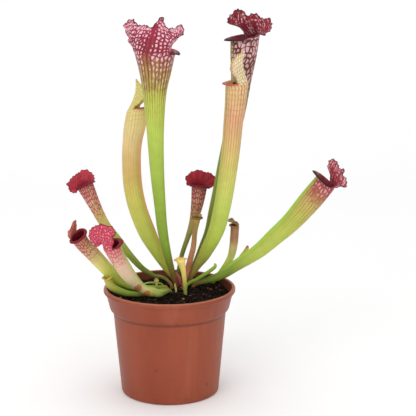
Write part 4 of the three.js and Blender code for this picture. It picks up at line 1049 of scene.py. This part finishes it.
def pitcher_mesh(name, leaf, ruffle, margin_share, seed):
    """One closed sheet of rings: foot, outside, lip and hood, rim, inside, the hollow's floor.

    The inner rings of the top stand one wall behind its outer ones, against its normals; the
    tube's are its own rings with a half width one wall less, without a wing.
    """
    neck = math.radians(leaf["neck"])
    radius = leaf["route"][-1][3]
    phi, hood = mouth_turns(leaf)
    columns = len(phi)
    outside = tube_points(leaf, even_shares(leaf, 0, 1, TUBE_STEP, TUBE_ROWS)[:-1], phi)
    place, _, along, front, across = route_frames(leaf, 1.0)
    top = place + (top_points(leaf, phi, hood, ruffle, seed)
                   @ np.stack([across, along, front]))
    normals = ring_normals(np.concatenate([outside, top]))[len(outside):]
    rim = (top[-1] - normals[-1] * LEAF_WALL / 2
           + unit(top[-1] - top[-2]) * RIM_BULGE * LEAF_WALL)
    within = (top - normals * LEAF_WALL)[::-1]
    inner_share = even_shares(leaf, 1, HOLLOW_FROM, INNER_STEP, INNER_ROWS)[1:]
    inside = tube_points(dict(leaf, wing=0), inner_share, phi, -LEAF_WALL)
    rings = np.concatenate([outside, top, rim[None], within, inside])

    # What the finish reads: the rise, and where the inside, the edges, the wing and spine are.
    tube_rise = arc_lengths(outside.mean(1))
    tube_rise = tube_rise / (tube_rise[-1] + np.linalg.norm(place - outside.mean(1)[-1]))
    top_rise = 1 + np.linspace(0, 1, TOP_FINE_ROWS + 1)
    row_rise = over_the_rim(tube_rise, top_rise, inner_share)
    on_hood = climb(neck + HOOD_FADE / 2 - np.abs(phi), 0, HOOD_FADE)[None, :]
    rise = np.where(row_rise[:, None] > 1, 1 + (row_rise[:, None] - 1) * on_hood,
                    row_rise[:, None])
    tube_girth = np.linalg.norm(outside[:, 0] - outside[:, columns // 2], axis=1)
    mouth_girth = np.linalg.norm(top[0, 0] - top[0, columns // 2])
    girth = np.interp(row_rise, tube_rise, tube_girth / mouth_girth)
    girth[row_rise >= 1] = 1
    up = top_rise[:, None]
    plain_outside = np.zeros((len(outside), columns))
    plain_inside = np.zeros((len(inside), columns))
    lining = 1 - (1 - HOOD_LINING) * climb(up, 1, LINING_TOP) * on_hood
    inner = np.concatenate([plain_outside, np.zeros((len(top) + 1, columns)), lining[::-1],
                            plain_inside + 1])
    edge = over_the_rim(plain_outside, np.maximum(
        climb(up, *LIP_EDGE) * (1 - on_hood),
        climb(up, *HOOD_EDGE, most=margin_share) * on_hood), plain_inside)
    wing = np.zeros((len(rings), columns))
    wing[:len(outside)] = (wing_growth(tube_rise)[:, None]
                           * bell(np.pi - np.abs(phi), WING_FLARE * WING_WIDTH))

    finer = min(radius / CELL_RADIUS, 1)
    around = net_across(leaf, phi, hood, top, len(outside), len(inside))
    height = net_up(rings, row_rise, finer, len(outside))
    net = np.stack([around / (finer * CELL_AROUND), height], axis=-1)
    spine = bell(around[:, :-1], SPINE_SHARE * radius)
    values = dict(rise=(rise, (0, HOLLOW_FROM)), inside=(inner, (0, 1)), edge=(edge, (0, 0)),
                  wing=(wing, (0, 0)), girth=(girth[:, None], (1, 1)), spine=(spine, (0, 0)))
    poles = [outside[0].mean(0), inside[-1].mean(0)]
    return ring_body(name, rings, poles, flip=True, values=values, net=net)


SHOOT_COLUMNS = 32
SHOOT_ROWS = 90
DOME_ROWS = 5
DOME_HEIGHT = 0.6        # in half widths


def shoot_mesh(name, leaf):
    """A solid shoot: rings along the route, closed by a dome, half an oval on the last ring."""
    phi = np.linspace(-np.pi, np.pi, SHOOT_COLUMNS, endpoint=False)
    t = np.linspace(0, 1, SHOOT_ROWS)
    rings = tube_points(leaf, t, phi)
    place, radius, along, _, _ = route_frames(leaf, 1.0)
    lift = np.linspace(0, 1, DOME_ROWS + 2)[1:-1]
    tip = along * DOME_HEIGHT * radius
    dome = (place + (rings[-1] - place) * np.sqrt(1 - lift ** 2)[:, None, None]
            + tip * lift[:, None, None])
    rings = np.concatenate([rings, dome])
    rise = np.append(t, np.ones(DOME_ROWS))[:, None]
    around = np.append(phi, np.pi) * leaf["route"][len(leaf["route"]) // 2][3] / CELL_AROUND
    height = arc_lengths(rings.mean(1)) / CELL_HEIGHTS[0][1]
    net = np.stack(np.broadcast_arrays(around[None, :], height[:, None]), axis=-1)
    values = {key: (0, (0, 0)) for key in ("inside", "edge", "wing", "spine")}
    values.update(rise=(rise, (0, 1)), girth=(1, (1, 1)))
    return ring_body(name, rings, [rings[0].mean(0), place + tip], flip=True, values=values,
                     net=net)


SEED_STEP = 1.7          # between the ruffles' waves of one pitcher and the next
for number, (node, row) in enumerate(PITCHERS.items()):
    look = {**LEAF, **LOOKS[node]}
    made = pitcher_mesh("leaf_" + node, {**GROWTH, **row}, look["ruffle"], look["margin"],
                        SEED_STEP * number)
    finish_piece(made, leaf_material("skin_" + node, look), node)
for node, row in SHOOTS.items():
    skin = leaf_material("skin_" + node, {**LEAF, **LOOKS[node]})
    finish_piece(shoot_mesh("growth_" + node, {**GROWTH, **row}), skin, node)

# ---------------------------------------------------------------- pot
POT_COLUMNS = 160
CORNER_CUT = 0.45        # radius of the pot's rounded corners
LONGEST_CUT = 0.45       # as a share of a side
ROD_COLUMNS = 24
ROD_ENDS = (-5.0, 2 * FLOOR_TOP)
FLOOR_RADII = (32, 20)   # rings that part the flat floor between its rim and its middle


def rounded(profile, radius):
    """Each corner of a line replaced by three points of a parabola between cuts on its sides."""
    before, corner, after = profile[:-2], profile[1:-1], profile[2:]
    back, ahead = before - corner, after - corner
    cut_back = np.minimum(radius / np.linalg.norm(back, axis=1), LONGEST_CUT)[:, None]
    cut_ahead = np.minimum(radius / np.linalg.norm(ahead, axis=1), LONGEST_CUT)[:, None]
    start, end = corner + back * cut_back, corner + ahead * cut_ahead
    middle = 0.25 * start + 0.5 * corner + 0.25 * end
    inner = np.stack([start, middle, end], axis=1).reshape(-1, 2)
    return np.concatenate([profile[:1], inner, profile[-1:]])


def pot_mesh():
    """The pot's profile turned round the upright axis, with rounded corners."""
    channel = [(CENTRE_DISC_RADIUS + 1, BASE_CHANNEL)]
    channel += [(radius, BASE_CHANNEL) for radius in FLOOR_RADII[::-1]]
    outside = [
        (CENTRE_DISC_RADIUS * 0.5, 0), (CENTRE_DISC_RADIUS, 0), *channel,
        (STAND_RING_RADIUS - 1, BASE_CHANNEL), (STAND_RING_RADIUS, 0),
        (STAND_RING_RADIUS + 3, 0), (BASE_RADIUS - BASE_ROUND, 0),
        (BASE_RADIUS - 0.3 * BASE_ROUND, 0.3 * BASE_ROUND), (BASE_RADIUS, BASE_ROUND),
        (BODY_TOP_RADIUS, STEP_FOOT), (BAND_FOOT_RADIUS, STEP_TOP),
        (BAND_TOP_RADIUS, POT_TOP - 4.6), (LIP_RADIUS - 0.5, POT_TOP - 4),
        (LIP_RADIUS, POT_TOP - 3), (LIP_RADIUS - 0.2, POT_TOP - 0.7),
        (LIP_RADIUS - 1.2, POT_TOP),
    ]
    inside = [
        (BAND_TOP_RADIUS - POT_WALL + 0.6, POT_TOP), (BAND_TOP_RADIUS - POT_WALL, POT_TOP - 0.8),
        (BAND_FOOT_RADIUS - POT_WALL, STEP_TOP + 0.8),
        (BODY_TOP_RADIUS - POT_WALL, STEP_FOOT + 0.6),
        (BASE_RADIUS - POT_WALL + 0.3, FLOOR_TOP + 1.2), (BASE_RADIUS - POT_WALL - 1, FLOOR_TOP),
        *((radius, FLOOR_TOP) for radius in FLOOR_RADII), (6, FLOOR_TOP),
    ]
    profile = rounded(np.array(outside + inside, float), CORNER_CUT)
    _, steps = circle(POT_COLUMNS)
    rings = np.concatenate([
        profile[:, None, :1] * steps[None],
        np.broadcast_to(profile[:, None, 1:], (len(profile), POT_COLUMNS, 1)),
    ], axis=-1)
    return ring_body("nursery_pot", rings, [[0, 0, 0], [0, 0, FLOOR_TOP]])


def drill_holes(pot):
    """Eight round drain holes through the pot's floor, cut by closed rods."""
    _, steps = circle(ROD_COLUMNS)
    angles = 2 * np.pi * (np.arange(DRAIN_HOLES) + 0.5) / DRAIN_HOLES
    centres = np.stack([np.cos(angles), np.sin(angles)], axis=-1) * DRAIN_CIRCLE_RADIUS
    flat = (centres[:, None, :] + steps[None] * DRAIN_RADIUS).reshape(-1, 2)
    count = len(flat)
    walls, ends = (np.concatenate([np.column_stack([level, np.full(len(level), z)])
                                   for z in ROD_ENDS]) for level in (flat, centres))
    low = np.arange(count).reshape(DRAIN_HOLES, ROD_COLUMNS)
    low_next = np.roll(low, -1, axis=1)
    poles = 2 * count + np.broadcast_to(np.arange(DRAIN_HOLES)[:, None], low.shape)
    quads = np.stack([low, low_next, low_next + count, low + count], axis=-1)
    triangles = np.concatenate([
        np.stack([low_next, low, poles], axis=-1),
        np.stack([low + count, low_next + count, poles + DRAIN_HOLES], axis=-1),
    ])
    rods = object_from("drain_rods", np.concatenate([walls, ends]), quads, triangles)
    cut = pot.modifiers.new("drain_holes", "BOOLEAN")
    cut.operation = "DIFFERENCE"
    cut.solver = "EXACT"
    cut.object = rods
    with bpy.context.temp_override(object=pot, active_object=pot):
        bpy.ops.object.modifier_apply(modifier=cut.name)
    bpy.data.objects.remove(rods)


# x, y, z and half width of each mark on the pot's side.
SMUDGES = ((7.9, -52.6, 77.9, 1.7), (-11.0, -46.4, 33.3, 1.5), (-30.8, -38.0, 48.2, 0.9))
# The last colour here is for pale streaks, partly rub marks and partly painted sheen.
PLASTIC, PLASTIC_PALE, RUBS_AND_SHEEN = (134, 61, 39), (147, 71, 46), (170, 98, 74)
# The first colour here is painted shade: the shadow under the band's step.
STEP_SHADE, DRIED_DIRT, SPECK = (84, 38, 30), (88, 56, 46), (58, 34, 30)
# The first colour here is a painted highlight along the lip's top; the last is painted shade inside
# the band.
LIP_HIGHLIGHT, SMUDGE, INSIDE_SHADE = (190, 122, 96), (92, 50, 38), (84, 38, 28)
STEP_SHADE_REACH = 2.4    # painted shade under the band's step: its reach above and below the step's foot
DIRT_REACH = 16          # above the floor
LIP_HIGHLIGHT_DEPTH = 1.4         # painted highlight: its depth below the lip's top


def pot_material():
    """Moulded plastic of a terracotta colour: faint clouds, fine grain, dirt, and pale vertical
    streaks that are partly rub marks and partly painted sheen; with painted shade under the band's
    step and inside the band, and a painted highlight along the lip.
    """
    s = Shader("terracotta_plastic")
    place = s.place()
    height = s.split(place)[2]
    cloud = s.noise(s.scaled(place, (1.0, 1.0, 0.6)), 24.0)
    colour = s.mix(s.span(cloud, 0.3, 0.7), PLASTIC, PLASTIC_PALE)
    # Pale vertical streaks: partly rub marks, partly painted sheen.
    streak = s.noise(s.scaled(place, (60.0, 60.0, 4.0)), 1.0, 3.0, 0.7)
    colour = s.mix(s.span(streak, 0.52, 0.72, 0.0, 0.2), colour, RUBS_AND_SHEEN)
    # Painted shade: a dark line at the step's foot, where the band throws its shadow.
    from_step = s.maths("ABSOLUTE", s.maths("SUBTRACT", height, STEP_FOOT * MM))
    painted_step_shade = s.span(from_step, 0.0, STEP_SHADE_REACH * MM, 0.6, 0.0)
    colour = s.mix(painted_step_shade, colour, STEP_SHADE)
    dust = s.noise(place, 120.0, 6.0, 0.7)
    low = s.span(height, 0.0, DIRT_REACH * MM, 1.0, 0.0)
    dirt = s.times(s.span(dust, 0.5, 0.72), s.maths("MULTIPLY_ADD", low, 0.5, 0.12))
    colour = s.mix(dirt, colour, DRIED_DIRT)
    specks = s.span(s.cells(place, 55.0), 0.05, 0.09, 0.75, 0.0)
    few = s.span(s.noise(place, 18.0, 0.0), 0.58, 0.62)
    colour = s.mix(s.times(specks, few), colour, SPECK)
    # Painted highlight: a pale band along the top of the lip.
    lip = s.span(height, (POT_TOP - LIP_HIGHLIGHT_DEPTH) * MM, POT_TOP * MM, 0.0, 0.45)
    colour = s.mix(lip, colour, LIP_HIGHLIGHT)
    for smudge in SMUDGES:
        colour = s.mix(s.mark(place, smudge, 0.55, dust), colour, SMUDGE)
    # Painted shade on the band's inside, where a point lies deeper than its outer wall.
    away = s.vector("LENGTH", s.scaled(place, (1.0, 1.0, 0.0)), (0.0, 0.0, 0.0), output="Value")
    slope = (BAND_TOP_RADIUS - BAND_FOOT_RADIUS) / (POT_TOP - STEP_TOP)
    wall = s.maths("MULTIPLY_ADD", height, slope, (BAND_FOOT_RADIUS - slope * STEP_TOP) * MM)
    depth = s.maths("SUBTRACT", wall, away)
    inner = s.times(s.span(depth, 0.6 * MM, 1.1 * MM, 0.0, 0.7),
                    s.span(height, STEP_TOP * MM, (STEP_TOP + 1) * MM))
    colour = s.mix(inner, colour, INSIDE_SHADE)
    normal = s.bump(dust, 0.12, 0.25)
    normal = s.bump(s.noise(place, 900.0, 2.0), 0.05, 0.35, normal)
    rough = s.span(cloud, 0.3, 0.7, 0.4, 0.52)
    return s.finish(colour, rough, normal, Specular_IOR_Level=0.25)


pot = pot_mesh()
drill_holes(pot)
finish_piece(pot, pot_material(), "pot")

# ---------------------------------------------------------------- soil and crown
SOIL_COLUMNS = 200
SOIL_ROWS = 90
SOIL_MIDDLE = 0.01       # the last ring's share of the soil's radius
CALM_EDGE = 0.04         # share of the radius by the wall that has less relief
RELIEF = ((7.0, 1.6), (3.2, 1.5), (1.6, 1.1), (0.8, 0.6))    # size and height of each octave
LATTICE = 256
CRUMBS = 900
CRUMB_COLUMNS, CRUMB_ROWS = 8, 5
CRUMB_HALF = (0.35, 1.2)     # half width of the smallest, and how much wider the largest is
CRUMB_STRETCH = 2.6
CRUMB_FLATNESS = 0.75
CRUMB_LIFT = 0.15            # of its half width above the soil
CRUMB_MARGIN = 5             # kept clear of the pot's wall
rng = np.random.default_rng(7)


def soil_height(x, y):
    """The part's soil surface: two bells and two slow waves on a level."""
    crown = CROWN_MOUND["height"] * bell(np.hypot(x - CROWN[0], y - CROWN[1]),
                                         CROWN_MOUND["spread"])
    rim = RIM_MOUND["height"] * bell(np.hypot(x - RIM_MOUND["x"], y - RIM_MOUND["y"]),
                                     RIM_MOUND["spread"])
    lumps = 0.5 * np.sin(0.31 * x + 1) * np.sin(0.27 * y) + 0.35 * np.sin(0.55 * y + 0.4 * x)
    return SOIL_LEVEL + crown + rim + lumps


def value_noise(x, y, size, seed):
    """Smooth random heights on a square lattice, blended with an s-curve between corners."""
    lattice = np.random.default_rng(seed).random((LATTICE, LATTICE)) - 0.5
    u, v = x / size, y / size
    i, j = np.floor(u).astype(int), np.floor(v).astype(int)
    f, g = s_curve(u - i), s_curve(v - j)
    near, far = (lattice[i % LATTICE, (j + k) % LATTICE] * (1 - f)
                 + lattice[(i + 1) % LATTICE, (j + k) % LATTICE] * f for k in (0, 1))
    return near * (1 - g) + far * g


def crumb_height(x, y):
    """The fine relief of crumbly soil: four octaves of value noise, finer and lower in turn."""
    return sum(height * value_noise(x, y, size, seed)
               for seed, (size, height) in enumerate(RELIEF))


def wall_radius(z):
    """The pot's outer radius at a height."""
    return np.interp(z, [FLOOR_TOP, STEP_FOOT, STEP_TOP, POT_TOP],
                     [BASE_RADIUS, BODY_TOP_RADIUS, BAND_FOOT_RADIUS, BAND_TOP_RADIUS])


def soil_mesh():
    """A closed body: a plain bottom and side, and a fine polar grid with crumbs on top."""
    inset = POT_WALL + 2 * FIT_GAP
    _, steps = circle(SOIL_COLUMNS)
    side = np.array([
        (SOIL_BOTTOM_RADIUS, FLOOR_TOP + FIT_GAP),
        (wall_radius(STEP_FOOT) - inset, STEP_FOOT + 2 * FIT_GAP),
        (wall_radius(STEP_TOP) - inset, STEP_TOP + 1.5),
    ])
    lower = np.concatenate([side[:, :1, None] * steps[None],
                            np.broadcast_to(side[:, 1:, None], (3, SOIL_COLUMNS, 1))], axis=-1)
    share = np.linspace(1, SOIL_MIDDLE, SOIL_ROWS)
    flat = (wall_radius(SOIL_LEVEL) - inset) * share[:, None, None] * steps[None]
    x, y = flat[..., 0], flat[..., 1]
    calm = climb(1 - share, 0, CALM_EDGE)[:, None]
    z = soil_height(x, y) + crumb_height(x, y) * calm
    rings = np.concatenate([lower, np.concatenate([flat, z[..., None]], axis=-1)])
    return ring_body("potting_soil", rings, [[0, 0, FLOOR_TOP + FIT_GAP], [0, 0, z[-1].mean()]])


def soil_material():
    """Dark peat with paler fibres and grains."""
    s = Shader("peat")
    place = s.place()
    grain = s.noise(place, 420.0, 6.0, 0.7)
    colour = s.mix(s.span(grain, 0.35, 0.7), (4, 2, 1), (40, 27, 20))
    fibre = s.noise(s.scaled(place, (900.0, 260.0, 500.0)), 1.0)
    colour = s.mix(s.span(fibre, 0.66, 0.74, 0.0, 0.6), colour, (96, 66, 42))
    grit = s.span(s.cells(place, 700.0), 0.16, 0.22, 0.6, 0.0)
    sand = s.times(grit, s.span(s.noise(place, 150.0, 1.0), 0.56, 0.6))
    colour = s.mix(sand, colour, (150, 132, 118))
    normal = s.bump(grain, 0.9, 0.9)
    normal = s.bump(fibre, 0.4, 0.5, normal)
    return s.finish(colour, 0.95, normal, Specular_IOR_Level=0.08)


finish_piece(soil_mesh(), soil_material(), "soil")


def crumbs_mesh():
    """Loose crumbs and chips, all in one piece: small lumpy balls, longer one way, half sunk.

    Each is a ball times 1 plus two waves, stretched, turned and set on the soil at a seeded
    place.
    """
    each = CRUMB_ROWS * CRUMB_COLUMNS
    one = (CRUMBS, 1, 1)
    ring = circle(CRUMB_COLUMNS)[0][None, None, :]
    down = np.linspace(0, np.pi, CRUMB_ROWS + 2)[1:-1][None, :, None]
    turn = rng.random(one) * 2 * np.pi
    size = CRUMB_HALF[0] + CRUMB_HALF[1] * rng.random(one) ** 2
    long = 1 + CRUMB_STRETCH * rng.random(one) ** 2
    phase = rng.random(one) * 6
    far = (wall_radius(SOIL_LEVEL) - CRUMB_MARGIN) * np.sqrt(rng.random(one))
    way = rng.random(one) * 2 * np.pi
    x0, y0 = far * np.cos(way), far * np.sin(way)
    z0 = soil_height(x0, y0) + crumb_height(x0, y0) + CRUMB_LIFT * size
    lump = size * (1 + 0.22 * np.sin(3 * ring + phase) + 0.18 * np.sin(6 * down + 2 * phase))
    u, v = lump * long * np.sin(down) * np.cos(ring), lump * np.sin(down) * np.sin(ring)
    rings = np.stack([x0 + u * np.cos(turn) - v * np.sin(turn),
                      y0 + u * np.sin(turn) + v * np.cos(turn),
                      z0 + CRUMB_FLATNESS * lump * np.cos(down)], axis=-1)
    centres = np.concatenate([x0, y0, z0], axis=-1)[:, 0]
    lift = np.array([0, 0, 1]) * CRUMB_FLATNESS * size[:, 0]
    points = np.concatenate([rings.reshape(-1, 3), centres + lift, centres - lift])

    starts = np.arange(CRUMBS)[:, None] * each
    quads = ring_quads(CRUMB_ROWS, CRUMB_COLUMNS, flip=True)[None] + starts[..., None]
    first = starts + np.arange(CRUMB_COLUMNS)
    first_next = np.roll(first, -1, axis=1)
    below = each - CRUMB_COLUMNS
    pole = np.broadcast_to(CRUMBS * each + np.arange(CRUMBS)[:, None], first.shape)
    triangles = np.concatenate([
        np.stack([first, first_next, pole], axis=-1),
        np.stack([first_next + below, first + below, pole + CRUMBS], axis=-1),
    ])
    shade = rng.random(CRUMBS)
    values = dict(shade=np.concatenate([np.repeat(shade, each), shade, shade]))
    return object_from("soil_crumbs", points, quads, triangles, values)


def crumb_material():
    """Peat crumbs, mostly near black; a few are pale brown bark."""
    s = Shader("peat_crumb")
    grain = s.noise(s.place(), 900.0, 4.0, 0.7)
    tone = s.ramp(s.number("shade"), [(0, 8, 5, 4), (0.7, 40, 28, 20), (0.95, 72, 48, 34),
                                      (1, 150, 114, 82)])
    colour = s.mix(s.span(grain, 0.45, 0.7, 0.0, 0.6), tone, (10, 6, 5))
    return s.finish(colour, 0.92, s.bump(grain, 0.4, 0.8), Specular_IOR_Level=0.1)


finish_piece(crumbs_mesh(), crumb_material(), "soil", stands_for_it=False)

CROWN_COLUMNS = 96
CROWN_ROWS = 58


def crown_mesh():
    """The part's oval crown, finer: radius times 1 plus lumps of the turn and the height."""
    down = np.linspace(0, np.pi, CROWN_ROWS + 2)[1:-1, None]
    turn = circle(CROWN_COLUMNS)[0][None, :]
    lumps = (1 + 0.07 * np.sin(3 * turn + 1) * np.sin(down)
             + 0.03 * np.sin(9 * turn + 4 * down) * np.sin(down))
    x = CROWN[0] + CROWN_SIZE[0] * lumps * np.sin(down) * np.cos(turn)
    y = CROWN[1] + CROWN_SIZE[1] * lumps * np.sin(down) * np.sin(turn)
    z = (CROWN_HEIGHT - CROWN_SIZE[2] * np.cos(down)
         + 0.4 * np.sin(7 * turn + 1) * np.sin(down) ** 2)
    poles = [[*CROWN, CROWN_HEIGHT - CROWN_SIZE[2]], [*CROWN, CROWN_HEIGHT + CROWN_SIZE[2]]]
    return ring_body("crown", np.stack([x, y, z], axis=-1), poles)


def crown_material():
    """The crown: red-brown scales with paler streaks."""
    s = Shader("crown_skin")
    place = s.place()
    patch = s.noise(place, 260.0, 4.0)
    colour = s.mix(s.span(patch, 0.35, 0.65), (104, 42, 38), (160, 92, 78))
    fibre = s.noise(s.scaled(place, (700.0, 700.0, 120.0)), 1.0)
    colour = s.mix(s.span(fibre, 0.55, 0.7, 0.0, 0.6), colour, (60, 26, 22))
    return s.finish(colour, 0.62, s.bump(fibre, 0.6, 0.7), Subsurface_Weight=0.05,
                    Subsurface_Scale=MM)


finish_piece(crown_mesh(), crown_material(), "rhizome")

# ---------------------------------------------------------------- floor and light
FLOOR_HALF_WIDTH = 3000.0
FLOOR_FRONT = -2500.0
FLOOR_BACK = 900.0
FLOOR_BEND = 500.0
BACKDROP_TOP = 3000.0
BEND_ROWS = 17
# place, height of the point that it faces, and watts; metres.
LIGHTS = {
    "key": ((-0.7, -1.4, 0.95), 0.15, 10.5),
    "fill": ((1.0, -1.4, 0.4), 0.15, 6.0),
    "top": ((0.0, 0.3, 1.7), 0.1, 5.0),
}
LIGHT_SIZE = 1.4
SKY = 0.75


def add_floor():
    """A pale floor that rises behind the plant as a quarter circle."""
    bend = np.linspace(0, np.pi / 2, BEND_ROWS)
    run = np.concatenate([[FLOOR_FRONT], FLOOR_BACK + FLOOR_BEND * np.sin(bend),
                          [FLOOR_BACK + FLOOR_BEND]])
    rise = np.concatenate([[0.0], FLOOR_BEND * (1 - np.cos(bend)), [BACKDROP_TOP]])
    across = np.array([-FLOOR_HALF_WIDTH, FLOOR_HALF_WIDTH])
    points = np.stack(np.broadcast_arrays(across, run[:, None], rise[:, None]), axis=-1)
    i = np.arange(len(run) - 1) * 2
    floor = object_from("floor", points.reshape(-1, 3),
                        np.stack([i, i + 1, i + 3, i + 2], axis=-1))
    s = Shader("pale_paper")
    colour = s.mix(s.noise(s.place(), 3.0, 2.0), (250, 250, 250), (253, 253, 253))
    floor.data.materials.append(s.finish(colour, 0.85, Specular_IOR_Level=0.2))


def add_light(name, at, aim, watts):
    """A square soft light at a place, facing a point on the upright axis."""
    data = bpy.data.lights.new(name, "AREA")
    data.size = LIGHT_SIZE
    data.energy = watts
    made = bpy.data.objects.new(name, data)
    made.location = at
    direction = np.array([0, 0, aim]) - np.array(at)
    turn = math.atan2(-direction[0], direction[1])
    drop = math.acos(-direction[2] / np.linalg.norm(direction))
    made.rotation_euler = (drop, 0.0, turn)
    bpy.context.collection.objects.link(made)


add_floor()
for name, (at, aim, watts) in LIGHTS.items():
    add_light(name, at, aim, watts)
world = bpy.data.worlds.new("studio")
world.use_nodes = True
world.node_tree.nodes["Background"].inputs["Color"].default_value = (1, 1, 1, 1)
world.node_tree.nodes["Background"].inputs["Strength"].default_value = SKY
bpy.context.scene.world = world
bpy.context.scene.view_settings.view_transform = "Standard"
